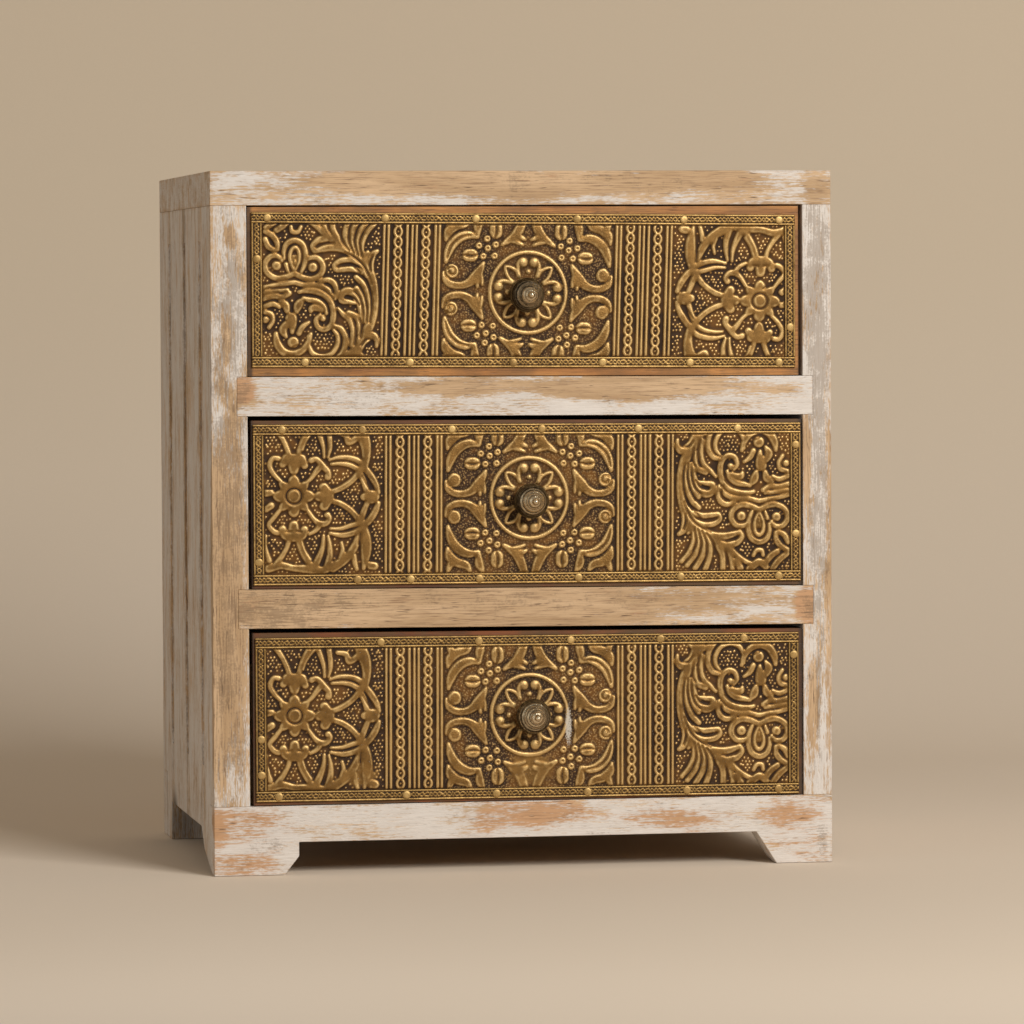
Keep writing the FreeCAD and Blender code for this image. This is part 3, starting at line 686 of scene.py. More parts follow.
# Drawer boxes: pale sides and back, a plywood base in grooves, and a front of the same wood stained orange
# brown, which shows as a border round the brass. The pins that hold them are steel.
RAW_LIGHT = tint(221, 190, 148)
RAW_DARK = tint(190, 153, 108)
STAIN_PORE = tint(66, 42, 28)
STAIN_CLOUD = tint(96, 74, 46)
TIERS = ("upper", "middle", "lower")
FRONT_FINISH = {
    "upper": {"light": tint(197, 138, 75), "dark": tint(160, 106, 57), "seed": 131.0, "stain": 0.4},
    "middle": {"light": tint(124, 78, 46), "dark": tint(88, 54, 32), "seed": 137.0, "stain": 0.7},
    "lower": {"light": tint(138, 80, 44), "dark": tint(96, 56, 32), "seed": 149.0, "stain": 0.7},
}
# Painted shade down each drawer front's left and right edge, beside the stiles.
FRONT_EDGE_SHADE = [((14.9, 0, 150), (2.6, 12, 300), 1.3), ((240.0, 0, 150), (2.4, 12, 300), 1.0)]
raw_deep = plain_wood("raw_wood_deep", ALONG_Y, RAW_LIGHT, RAW_DARK, 113.0)
raw_across = plain_wood("raw_wood_across", ALONG_X, RAW_LIGHT, RAW_DARK, 127.0)
DRAWER_FINISHES = {
    "drawer_left_side": raw_deep,
    "drawer_right_side": raw_deep,
    "drawer_back": raw_across,
    "drawer_base": ply_across,
    "drawer_pins": steel,
    "knob_screw": steel,
    "knob_washer": steel,
}
for tier, front in FRONT_FINISH.items():
    stained = plain_wood("stained_" + tier + "_front", ALONG_X, front["light"], front["dark"], front["seed"],
                         pore=STAIN_PORE, roughness=0.5, streaks=0.75, stain=STAIN_CLOUD,
                         stain_amount=front["stain"], shade_and_streaks=FRONT_EDGE_SHADE)
    dress(tier + "_drawer_front", stained)
    for part, finish in DRAWER_FINISHES.items():
        dress(tier + "_" + part, finish)


# Embossed brass: one thin sheet on each drawer front, rolled with a knob medallion between rope columns, a
# star flower on one side and an acanthus scroll on the other. The upper sheet is fixed upside down.
DESIGN_HALF_WIDTH = 112.0
DESIGN_HALF_HEIGHT = 34.0
DESIGN_STEP = 0.2
STROKE_STEP = 0.25
UNPRESSED = -9.0
PRESS_MARGIN = 2.0
SPIRAL_MARKS = 16


class Embossing:
    """The rolled design as heights over a flat grid, in millimetres from the medallion's middle."""

    def __init__(self):
        self.xs = np.arange(-DESIGN_HALF_WIDTH, DESIGN_HALF_WIDTH + DESIGN_STEP, DESIGN_STEP)
        self.zs = np.arange(-DESIGN_HALF_HEIGHT, DESIGN_HALF_HEIGHT + DESIGN_STEP, DESIGN_STEP)
        self.raised = np.full((len(self.zs), len(self.xs)), UNPRESSED)
        self.cut = np.full_like(self.raised, UNPRESSED)
        self.beads = np.zeros_like(self.raised)

    def window(self, x, z, reach):
        """The part of the grid round a point."""
        columns = slice(*np.searchsorted(self.xs, (x - reach, x + reach)))
        rows = slice(*np.searchsorted(self.zs, (z - reach, z + reach)))
        away = np.hypot(self.xs[None, columns] - x, self.zs[rows, None] - z)
        return rows, columns, away

    def press(self, layer, x, z, radius):
        """Presses one round tool mark into a layer, which holds how far inside a mark each point is."""
        rows, columns, away = self.window(x, z, radius + PRESS_MARGIN)
        layer[rows, columns] = np.maximum(layer[rows, columns], radius - away)

    def stroke(self, points, layer=None, fuller=0.0):
        """A stem, leaf or line along a curve through its points, each (x, z, half width), made wider by
        fuller on either side."""
        layer = self.raised if layer is None else layer
        for x, z, radius in through(points):
            self.press(layer, x, z, radius + fuller)

    def vein(self, points):
        """A line cut into a leaf."""
        self.stroke(points, self.cut)

    def bead(self, x, z, radius, height):
        """A small round grain standing on the ground."""
        rows, columns, away = self.window(x, z, radius)
        dome = height * np.sqrt(np.clip(1.0 - (away / radius) ** 2, 0.0, 1.0))
        self.beads[rows, columns] = np.maximum(self.beads[rows, columns], dome)


def through(points):
    """Points close together on a smooth curve through the given ones."""
    if len(points) == 1:
        return [points[0]]
    knots = np.array([points[0], *points, points[-1]], float)
    line = []
    for a, b, c, d in zip(knots, knots[1:], knots[2:], knots[3:]):
        steps = max(2, int(np.hypot(*(c - b)[:2]) / STROKE_STEP))
        for t in np.arange(steps) / steps:
            line.append(0.5 * (2 * b + (c - a) * t + (2 * a - 5 * b + 4 * c - d) * t * t
                               + (3 * b - a - 3 * c + d) * t ** 3))
    line.append(np.array(points[-1], float))
    return line


def spiral(x, z, start, turns, outer, inner, width, end_width):
    """A volute wound in towards (x, z). Start is the outer end's angle in degrees; turns below 0 go
    clockwise."""
    marks = []
    count = max(SPIRAL_MARKS // 2, int(abs(turns) * SPIRAL_MARKS))
    for k in range(count + 1):
        share = k / count
        angle = math.radians(start + 360.0 * turns * share)
        radius = outer + (inner - outer) * share
        marks.append((x + radius * math.cos(angle), z + radius * math.sin(angle),
                      width + (end_width - width) * share))
    return marks


def flipped(points, flip_x, flip_z, middle=(0.0, 0.0)):
    """A stroke given from that middle, on any side of it."""
    return [(middle[0] + x * flip_x, middle[1] + z * flip_z, radius) for x, z, radius in points]


design = Embossing()

# Medallion: one quarter of it, pressed four times. Comma clubs, a hairpin petal and a dot inside the ring.
LEAF_FULLNESS = 0.22
CLUB_FULLNESS = 0.1
CLUB_DOME = 1.08
RING_CENTRE = (-0.3, 0.2)
RING_RADII = (15.4, 16.1)
RING_WIDTH = 0.85
RING_MARKS = 480
RING_DOT_OUT = 8.3
RING_DOT_RADIUS = 0.95
CLUB = [(-2.35, 12.0, 1.95)]
CLUB_STEM = [(-3.6, 12.2, 0.9), (-4.3, 10.4, 0.85), (-4.2, 8.4, 0.75), (-3.6, 6.4, 0.65)]
HAIRPIN = [(-4.1, 6.6, 0.5), (-5.0, 8.4, 0.6), (-6.8, 9.7, 0.62), (-9.3, 10.0, 0.5), (-8.9, 7.6, 0.62),
           (-7.8, 5.6, 0.6), (-6.0, 4.2, 0.5)]
QUARTER = [
    [(-33.7, 6.6, 0.9), (-33.2, 4.0, 1.15), (-30.8, 2.3, 1.3), (-27.0, 1.9, 1.35), (-23.6, 3.2, 1.6),
     (-21.0, 5.8, 1.95), (-19.2, 8.6, 1.35), (-18.0, 11.0, 0.55)],
    [(-21.2, 5.2, 1.4), (-20.4, 3.2, 0.9), (-20.2, 1.5, 0.45)],
    [(-19.4, 6.4, 1.2), (-18.6, 4.4, 0.8), (-18.3, 2.5, 0.45)],
    [(-33.2, 11.2, 0.6), (-32.4, 14.8, 1.45), (-30.5, 18.6, 1.85), (-27.4, 21.2, 1.8), (-24.0, 22.1, 1.4),
     (-20.9, 21.2, 0.5)],
    [(-33.4, 19.9, 0.5), (-32.4, 23.2, 1.75), (-29.6, 25.5, 1.75), (-26.0, 26.6, 1.5), (-24.3, 28.8, 0.7)],
    [(-31.5, 25.2, 1.5), (-32.6, 27.5, 1.0), (-33.3, 29.6, 0.45)],
    [(-20.5, 21.4, 0.45), (-20.7, 24.0, 1.3), (-20.3, 26.6, 1.55), (-19.0, 29.2, 0.6)],
    [(-10.5, 18.7, 0.6), (-8.3, 20.2, 1.15), (-5.9, 21.9, 1.65), (-4.2, 24.2, 1.85), (-3.0, 27.0, 1.7),
     (-2.0, 29.8, 1.3)],
    [(-4.8, 22.2, 1.3), (-3.0, 21.6, 1.0), (-1.4, 20.9, 0.45)],
    [(-7.8, 20.4, 0.9), (-4.9, 19.8, 0.8), (-2.3, 18.8, 0.45)],
]
BERRIES = [(-16.4, 17.0), (-16.7, 20.8), (-20.0, 17.9), (-18.2, 13.7), (-13.6, 14.0), (-13.2, 18.5)]
BERRY_RADIUS = 1.38
BERRY_EYE = 0.5
BEANS = [[(-24.1, 14.0, 2.6), (-22.7, 14.0, 2.6)], [(-13.2, 23.4, 2.6), (-13.2, 25.4, 2.6)]]
BEAN_CREASES = [
    [(-27.0, 14.2, 0.3), (-23.3, 13.7, 0.42), (-19.8, 14.3, 0.3)],
    [(-13.7, 20.8, 0.3), (-13.0, 24.4, 0.42), (-13.5, 28.4, 0.3)],
]
VOLUTE = (-30.8, 7.4)
VOLUTE_RADIUS = 2.85
VOLUTE_RIM = spiral(*VOLUTE, 235.0, -0.3, 2.9, 2.7, 0.3, 0.3)
RIGHT_SIDE_VEINS = [
    spiral(*VOLUTE, 150.0, -0.9, 2.1, 1.1, 0.34, 0.24),
    [(-32.9, 12.6, 0.2), (-31.2, 17.6, 0.34), (-27.6, 21.0, 0.34), (-23.4, 22.0, 0.2)],
]
turned_club = [[(z, -x, radius) for x, z, radius in points] for points in (CLUB, CLUB_STEM)]
dots = [[(*VOLUTE, VOLUTE_RADIUS)]] + [[(*spot, BERRY_RADIUS)] for spot in BERRIES]
berry_eyes = [[(*spot, BERRY_EYE)] for spot in BERRIES]
for flip_x in (1, -1):
    for flip_z in (1, -1):
        for points in QUARTER:
            design.stroke(flipped(points, flip_x, flip_z), fuller=LEAF_FULLNESS)
        for points in (CLUB, CLUB_STEM, HAIRPIN, *turned_club):
            design.stroke(flipped(points, flip_x, flip_z, RING_CENTRE), fuller=CLUB_FULLNESS)
        for points in (CLUB, turned_club[0]):
            x, z, radius = flipped(points, flip_x, flip_z, RING_CENTRE)[0]
            design.bead(x, z, radius + CLUB_FULLNESS, CLUB_DOME)
        for points in dots + BEANS:
            design.stroke(flipped(points, flip_x, flip_z))
        for points in [VOLUTE_RIM] + BEAN_CREASES + berry_eyes + (RIGHT_SIDE_VEINS if flip_x < 0 else []):
            design.vein(flipped(points, flip_x, flip_z))
for step in range(RING_MARKS):
    angle = math.radians(360.0 / RING_MARKS * step)
    design.press(design.raised, RING_CENTRE[0] + RING_RADII[0] * math.cos(angle),
                 RING_CENTRE[1] + RING_RADII[1] * math.sin(angle), RING_WIDTH)
for x, z in ((0, 1), (0, -1), (1, 0), (-1, 0)):
    design.stroke([(RING_CENTRE[0] + x * RING_DOT_OUT, RING_CENTRE[1] + z * RING_DOT_OUT, RING_DOT_RADIUS)])

# Columns: fine ribs with two ropes of two strands between them, and a dot in each of a rope's links.
RIBS = (36.0, 37.6, 45.3, 47.0, 49.0, 56.6, 58.3)
ROPES = (41.5, 52.7)
ROPE_PITCH = 4.1
ROPE_SWING = 1.4
ROPE_BLUNTNESS = 0.6
ROPE_LINKS = 16
COLUMN_LINE = 0.64
LINK_DOT = 0.5
for side in (-1, 1):
    for x in RIBS:
        design.stroke([(side * x, z, COLUMN_LINE) for z in (-DESIGN_HALF_HEIGHT, DESIGN_HALF_HEIGHT)])
    for x in ROPES:
        for z in np.arange(-DESIGN_HALF_HEIGHT, DESIGN_HALF_HEIGHT, STROKE_STEP / 2):
            swing = ROPE_SWING * abs(math.sin(math.pi * z / ROPE_PITCH)) ** ROPE_BLUNTNESS
            design.press(design.raised, side * x + swing, z, COLUMN_LINE)
            design.press(design.raised, side * x - swing, z, COLUMN_LINE)
        for link in range(ROPE_LINKS):
            design.stroke([(side * x, (link - ROPE_LINKS // 2 + 0.5) * ROPE_PITCH, LINK_DOT)])

# Star flower: eight petals round a boss, a trefoil on each side, curled tendrils between, and the lattice of
# paired stems that frames it and ends in tall leaves beside the rope columns.
STAR = (-95.3, 1.2)
STAR_FULLNESS = 0.14
STAR_BODY = 5.5
STAR_BOSS = 3.1
BOSS_LINE = 0.42
BOSS_MARKS = 72
PETAL_COUNT = 8
PETALS = [
    [(3.6, 2.7), (5.7, 2.4), (6.9, 1.6)],
    [(3.6, 2.3), (5.7, 1.8), (7.3, 1.0)],
]


def round_star(out, angle, radius):
    """A mark at that distance from the star's middle and that angle in degrees."""
    around = math.radians(angle)
    return STAR[0] + out * math.cos(around), STAR[1] + out * math.sin(around), radius


design.stroke([(*STAR, STAR_BODY)])
for step in range(PETAL_COUNT):
    angle = 360.0 / PETAL_COUNT * step
    design.stroke([round_star(out, angle, radius) for out, radius in PETALS[step % 2]])
for step in range(BOSS_MARKS):
    design.press(design.cut, *round_star(STAR_BOSS, 360.0 / BOSS_MARKS * step, BOSS_LINE))
TREFOIL_EAST = [
    [(-85.3, 1.1, 1.9), (-81.6, 1.0, 2.4)],
    [(-83.3, 4.6, 1.8), (-81.9, 2.4, 2.1)],
    [(-83.1, -2.8, 1.8), (-81.9, -0.4, 2.1)],
]
TREFOIL_SOUTH = [
    [(-95.3, -10.4, 1.8), (-95.4, -14.4, 2.6)],
    [(-99.8, -12.0, 1.5), (-99.0, -14.0, 1.7), (-97.0, -15.0, 2.0)],
    [(-91.0, -12.2, 1.5), (-91.8, -14.2, 1.7), (-93.8, -15.2, 2.0)],
]
TREFOIL_NORTH = [
    [(-95.3, 11.4, 1.7), (-95.3, 15.2, 2.9)],
    [(-91.0, 13.4, 1.4), (-92.4, 15.8, 2.0)],
    [(-99.8, 13.8, 1.3), (-98.2, 16.0, 2.0)],
]
STAR_STEMS = [
    [(-80.4, 2.8, 1.0), (-76.6, 4.2, 1.1), (-72.8, 6.6, 1.1), (-70.0, 9.4, 1.15), (-68.0, 12.4, 1.3)],
    [(-80.4, -0.6, 1.0), (-76.6, -1.8, 1.1), (-72.8, -4.2, 1.1), (-70.2, -7.0, 1.15), (-68.2, -9.8, 1.3)],
    [(-97.2, 17.2, 1.1), (-98.2, 20.4, 1.0), (-100.2, 24.6, 1.0), (-103.0, 28.6, 1.1)],
    [(-93.6, 17.2, 1.0), (-92.9, 20.4, 0.9), (-91.2, 24.8, 0.9), (-89.0, 28.8, 0.9)],
    [(-91.9, 19.6, 0.5), (-90.6, 23.2, 0.6), (-88.2, 26.6, 0.7), (-84.6, 29.4, 0.8)],
    [(-97.2, -15.8, 1.0), (-98.0, -19.0, 0.9), (-100.2, -23.0, 1.0), (-103.4, -27.2, 1.3)],
    [(-93.8, -15.8, 0.9), (-92.8, -19.6, 0.9), (-90.4, -24.0, 1.0), (-87.4, -27.6, 1.3)],
    [(-92.2, -16.8, 0.5), (-91.0, -20.6, 0.6), (-88.8, -24.2, 0.7)],
    [(-106.8, -14.8, 0.8), (-106.8, -19.0, 0.8), (-105.0, -24.6, 1.0)],
    [(-105.4, -27.6, 1.6), (-100.4, -26.4, 1.5), (-95.6, -27.4, 1.3), (-90.6, -27.8, 1.6),
     (-84.0, -28.6, 1.7)],
    [(-67.2, 13.4, 1.1), (-70.4, 15.6, 1.1), (-74.4, 16.5, 1.0), (-78.0, 16.4, 0.8), (-81.0, 15.6, 0.5)],
    [(-69.0, 11.4, 1.0), (-72.6, 13.4, 0.95), (-76.4, 14.1, 0.8), (-80.2, 13.9, 0.5)],
    [(-68.8, -9.6, 1.0), (-72.4, -10.6, 0.95), (-76.6, -11.8, 0.8), (-80.6, -11.8, 0.5)],
    [(-67.8, -11.8, 1.2), (-71.6, -13.6, 1.1), (-76.0, -14.4, 1.0), (-80.8, -13.6, 0.55)],
    [(-83.2, 16.6, 0.55), (-83.2, 20.0, 0.9), (-84.2, 23.6, 1.0), (-86.0, 28.0, 1.1)],
    [(-81.6, 16.6, 0.5), (-80.9, 20.0, 0.9), (-80.9, 23.6, 1.0), (-81.6, 28.8, 1.0)],
    [(-83.4, -14.6, 0.55), (-83.4, -18.0, 0.95), (-84.6, -22.0, 1.15), (-86.8, -26.6, 1.5)],
    [(-81.6, -14.8, 0.5), (-80.9, -18.6, 0.95), (-80.9, -23.0, 1.15), (-82.2, -28.0, 1.5)],
]
TENDRILS = [
    [(-88.4, 15.4, 1.15), (-86.4, 15.9, 1.0), (-84.8, 14.6, 1.1), (-83.2, 12.6, 1.2), (-81.6, 10.8, 1.1),
     (-81.6, 8.8, 1.3)],
    [(-84.6, 13.0, 1.2), (-86.6, 10.6, 1.0), (-88.4, 8.2, 0.8), (-90.0, 6.8, 0.7)],
    [(-89.6, -4.6, 0.7), (-87.2, -8.0, 0.9), (-84.8, -9.8, 1.2), (-82.4, -9.6, 1.1), (-81.0, -7.8, 1.0),
     (-81.8, -6.4, 1.2)],
    [(-84.6, -9.8, 1.1), (-86.4, -12.4, 0.9), (-89.0, -13.8, 0.7)],
    [(-100.8, -4.2, 0.7), (-103.0, -7.0, 0.9), (-105.2, -10.0, 0.9), (-103.6, -12.6, 1.0),
     (-101.8, -13.4, 1.0)],
    [(-100.4, 7.0, 0.7), (-103.2, 9.8, 0.9), (-105.0, 13.2, 1.0), (-103.8, 16.2, 0.9), (-101.6, 16.2, 1.0)],
    [(-104.4, 2.6, 1.2), (-106.6, 2.4, 1.4)],
    [(-104.4, -2.6, 1.3), (-106.4, -4.0, 1.2)],
]
TALL_LEAVES = [
    [(-67.0, 12.8, 1.4), (-66.3, 16.6, 1.6), (-66.4, 20.6, 2.0), (-67.4, 24.4, 2.4), (-69.0, 28.6, 2.2)],
    [(-69.8, 24.6, 1.3), (-73.2, 22.6, 1.2), (-74.6, 25.4, 1.1), (-78.0, 26.2, 0.8)],
    [(-66.6, 12.2, 1.2), (-64.2, 9.0, 1.3), (-62.2, 5.6, 1.1), (-61.4, 2.6, 0.9)],
    [(-68.6, 9.8, 1.2), (-67.2, 6.8, 1.1), (-66.2, 3.6, 1.1)],
    [(-67.0, 0.8, 1.5), (-64.2, 1.9, 1.6), (-62.4, 0.9, 1.5), (-64.2, -0.4, 1.5), (-66.4, 0.8, 1.2)],
    [(-65.8, -1.6, 1.0), (-67.2, -5.0, 1.1), (-68.4, -8.4, 1.2)],
    [(-61.4, -1.8, 0.9), (-62.6, -5.0, 1.25), (-65.0, -8.6, 1.3), (-67.4, -10.6, 1.3)],
    [(-67.2, -11.0, 1.3), (-66.4, -15.4, 2.0), (-66.2, -20.0, 2.1), (-66.6, -24.4, 1.4),
     (-67.2, -27.8, 0.6)],
    [(-68.6, -12.6, 1.0), (-70.2, -17.4, 1.4), (-72.4, -21.4, 1.6), (-75.4, -24.6, 1.7),
     (-79.6, -27.2, 2.0)],
    [(-71.2, -22.6, 1.0), (-70.8, -25.0, 1.0), (-70.0, -28.0, 0.7)],
    [(-76.2, -17.4, 0.5), (-75.6, -20.4, 0.8), (-76.2, -23.6, 1.2)],
    [(-64.4, -26.6, 1.6), (-62.8, -26.8, 1.5)],
]
STAR_VEINS = [
    [(-68.6, -13.6, 0.3), (-69.0, -18.0, 0.4)],
    [(-67.8, 9.0, 0.2), (-66.0, 6.0, 0.35), (-64.6, 3.9, 0.3)],
    [(-98.2, -5.6, 0.2), (-96.9, -3.8, 0.3)],
    [(-98.3, -13.0, 0.25), (-96.6, -12.8, 0.3)],
    [(-92.4, -13.0, 0.25), (-94.0, -12.8, 0.3)],
    [(-84.4, 28.0, 0.2), (-82.6, 22.0, 0.3), (-82.4, 17.0, 0.2)],
    [(-84.6, -26.0, 0.3), (-82.6, -20.0, 0.3), (-82.4, -15.0, 0.2)],
]
for points in TREFOIL_EAST + TREFOIL_SOUTH + TREFOIL_NORTH + STAR_STEMS + TENDRILS + TALL_LEAVES:
    design.stroke(points, fuller=STAR_FULLNESS)
for points in STAR_VEINS:
    design.vein(points)

# Acanthus: one long leafy stem that sweeps down beside the columns, a great volute, a lyre of two scrolls
# with a drop between them, and half a lotus.
ACANTHUS_FULLNESS = 0.12
ACANTHUS = [
    [(69.6, 28.6, 2.2), (68.0, 23.8, 2.4), (65.6, 19.4, 2.1), (63.2, 14.6, 1.9), (61.7, 9.0, 1.6),
     (61.5, 2.8, 1.5), (62.6, -3.0, 1.7), (65.0, -8.0, 2.1), (68.6, -12.0, 2.1), (73.4, -14.9, 1.7),
     (78.6, -15.7, 1.6), (83.0, -14.9, 1.3), (86.0, -13.9, 1.0)],
    [(66.4, 22.0, 1.6), (64.0, 20.0, 1.5), (61.8, 19.0, 1.5), (60.2, 20.8, 1.1), (60.3, 23.2, 0.7)],
    [(65.0, 28.4, 0.8), (67.0, 26.4, 1.0), (70.0, 25.4, 1.0), (73.6, 27.4, 0.9)],
    [(63.8, 12.8, 0.8), (63.4, 8.0, 1.0), (64.4, 3.0, 1.1), (66.6, -1.4, 1.2), (69.2, -4.0, 1.0)],
    [(65.4, 13.4, 0.9), (65.4, 8.6, 1.0), (66.8, 3.8, 1.2), (69.0, 0.4, 1.1)],
    [(66.6, 12.6, 1.0), (67.0, 8.4, 1.3), (68.6, 4.4, 1.5), (71.6, 1.6, 1.6), (74.6, 2.4, 1.4),
     (74.8, 5.2, 1.2), (71.6, 5.9, 0.9), (69.0, 6.4, 0.5)],
    [(64.4, -4.4, 0.9), (67.2, -6.2, 1.0), (71.0, -7.2, 1.1), (75.0, -6.9, 1.1), (77.4, -6.8, 0.9),
     (77.8, -8.8, 1.0), (75.4, -10.5, 1.1), (71.4, -10.9, 1.1), (68.0, -9.8, 1.1)],
    [(63.4, -5.6, 1.5), (63.9, -9.4, 1.7), (62.9, -13.0, 1.4), (61.0, -14.6, 0.8)],
    [(65.9, -9.6, 1.2), (66.2, -12.2, 1.1), (64.8, -14.2, 0.7)],
    [(66.8, -12.0, 0.9), (67.2, -17.0, 1.0), (65.4, -21.8, 1.05), (62.2, -25.6, 0.9)],
    [(68.2, -13.2, 0.9), (69.1, -18.2, 1.05), (67.8, -22.8, 1.05), (64.4, -27.2, 1.0)],
    [(69.8, -13.6, 0.9), (71.3, -18.2, 1.15), (70.8, -23.2, 1.15), (67.8, -28.4, 1.1)],
    [(71.4, -14.4, 0.9), (73.6, -18.2, 1.1), (73.8, -23.2, 1.1), (72.0, -28.8, 1.1)],
    [(73.8, -15.4, 1.1), (77.0, -18.8, 1.5), (79.0, -23.2, 1.2), (79.2, -29.0, 1.1)],
    [(77.6, -16.8, 1.3), (81.0, -20.4, 1.2), (82.6, -24.6, 1.0), (83.2, -29.0, 0.9)],
    [(86.2, -14.0, 1.0), (87.0, -15.8, 1.0), (85.0, -18.2, 1.2), (81.4, -19.6, 1.6), (84.6, -23.0, 1.1),
     (88.6, -25.8, 1.0), (92.6, -27.4, 0.9)],
    [(68.2, 18.0, 1.0), (67.4, 14.4, 1.2), (68.8, 11.6, 1.2), (72.0, 10.2, 1.1)],
    [(70.2, 23.0, 1.2), (69.8, 17.6, 1.2), (71.2, 13.4, 1.1), (74.2, 10.6, 0.9), (76.2, 8.4, 0.5)],
    [(77.2, 15.6, 0.8), (74.6, 16.8, 1.1), (72.8, 20.6, 1.15), (73.6, 25.4, 1.1), (76.8, 29.4, 1.0)],
    [(77.8, 17.2, 0.6), (76.1, 19.4, 0.9), (76.1, 23.0, 0.95), (78.4, 26.6, 0.95), (82.2, 27.9, 0.95),
     (85.8, 26.6, 0.95), (87.6, 23.2, 0.8), (87.8, 19.8, 0.55)],
    [(82.1, 12.5, 1.35)],
    [(83.4, 11.4, 0.8), (84.8, 13.4, 0.95), (83.9, 16.2, 1.05), (81.2, 17.0, 1.1), (78.7, 15.0, 1.1),
     (77.9, 11.0, 1.15), (78.9, 6.8, 1.2), (81.6, 3.7, 1.25), (85.2, 2.1, 1.25), (89.0, 1.8, 1.1),
     (91.8, 2.4, 0.7)],
    [(80.8, 10.6, 0.7), (81.8, 7.9, 0.95), (84.6, 6.0, 1.1), (87.8, 5.4, 1.05), (90.2, 4.8, 0.7)],
    [(82.6, 9.6, 0.8), (84.4, 8.7, 1.25), (86.4, 8.6, 1.3), (87.0, 9.8, 0.8)],
    [(77.4, 4.8, 0.6), (77.0, 1.6, 1.0), (78.1, -1.4, 1.15), (80.6, -2.7, 1.1), (83.8, -1.9, 1.0)],
    [(78.0, 4.0, 0.6), (79.6, 1.8, 0.95), (82.2, 0.2, 1.05), (86.0, -0.5, 1.05), (90.0, -0.4, 1.0),
     (94.0, -1.3, 1.0), (98.0, -0.6, 1.0), (102.0, 0.0, 0.9), (106.8, 1.2, 0.9)],
    [(94.0, -4.9, 1.1), (90.4, -3.3, 1.15), (86.6, -2.9, 1.15), (83.4, -4.9, 1.15), (82.6, -8.2, 1.15),
     (84.6, -11.0, 1.15), (87.6, -11.3, 1.0), (89.6, -9.8, 0.6)],
    [(86.7, -7.5, 1.85)],
    [(94.0, -4.9, 1.1), (97.6, -3.3, 1.15), (101.4, -2.9, 1.15), (104.8, -4.9, 1.15), (105.8, -8.4, 1.15),
     (103.8, -11.3, 1.1), (101.0, -11.6, 1.0), (99.2, -9.8, 0.8)],
    [(101.2, -7.8, 1.8)],
    [(91.2, -5.6, 0.7), (89.9, -9.0, 1.0), (89.7, -13.0, 1.1), (91.2, -16.6, 1.15), (94.2, -18.0, 1.15),
     (97.2, -16.6, 1.1), (98.4, -13.6, 0.9), (98.2, -10.6, 0.6)],
    [(93.6, -6.4, 0.6), (92.3, -10.0, 0.75), (92.4, -13.4, 0.8), (94.0, -15.2, 0.85), (95.7, -13.4, 0.8),
     (95.8, -10.0, 0.75), (94.4, -6.4, 0.6)],
    [(94.0, -8.4, 0.5), (94.0, -11.6, 0.75)],
    [(96.6, -5.8, 0.6), (97.5, -8.4, 0.8)],
    [(94.3, 18.6, 0.7), (94.3, 15.8, 1.6), (94.8, 13.0, 2.3)],
    [(93.8, 22.4, 2.2)],
    [(96.6, 20.4, 0.6), (98.0, 17.8, 1.6), (96.8, 15.2, 1.2)],
    [(87.8, 14.4, 0.6), (90.2, 16.2, 1.1), (91.6, 18.8, 1.1)],
    [(86.8, 19.0, 0.7), (87.8, 22.4, 1.1), (90.2, 25.6, 1.3), (94.0, 27.2, 1.5), (97.8, 26.2, 1.6),
     (100.2, 22.8, 1.5), (100.8, 19.2, 0.8)],
    [(92.8, 10.2, 1.0), (92.0, 7.6, 1.7), (90.8, 5.8, 1.0)],
    [(96.4, 10.2, 1.0), (97.2, 7.8, 1.5), (99.2, 6.2, 1.0)],
    [(99.6, 8.6, 0.7), (102.4, 7.4, 1.1), (106.0, 8.8, 1.0)],
    [(103.6, 16.8, 0.8), (102.2, 14.2, 0.9), (102.8, 11.6, 1.0), (105.6, 10.6, 1.0)],
    [(105.0, 13.8, 1.35)],
    [(95.8, 3.0, 1.0), (98.6, 4.6, 1.1), (102.0, 4.4, 1.1), (106.0, 5.4, 1.1)],
    [(96.6, 1.8, 0.8), (100.6, 2.2, 0.9), (106.4, 3.0, 0.9)],
    [(101.0, -14.2, 0.9), (101.3, -17.2, 1.15), (103.4, -19.8, 1.2), (106.0, -21.2, 1.0)],
    [(102.0, -13.8, 0.9), (104.6, -15.2, 1.15), (106.0, -18.0, 1.1)],
    [(84.8, -25.4, 1.2), (86.4, -28.4, 1.4)],
    [(91.8, -23.4, 0.7), (93.0, -21.4, 0.9), (95.2, -21.4, 0.9), (95.8, -23.4, 0.7)],
    [(90.2, -28.8, 1.5), (94.0, -26.0, 1.5), (97.0, -28.0, 1.3)],
    [(96.2, -27.4, 1.2), (98.6, -24.0, 1.3), (101.6, -21.8, 1.2)],
    [(99.8, -28.6, 1.2), (102.4, -25.2, 1.3), (105.8, -22.6, 1.1)],
]
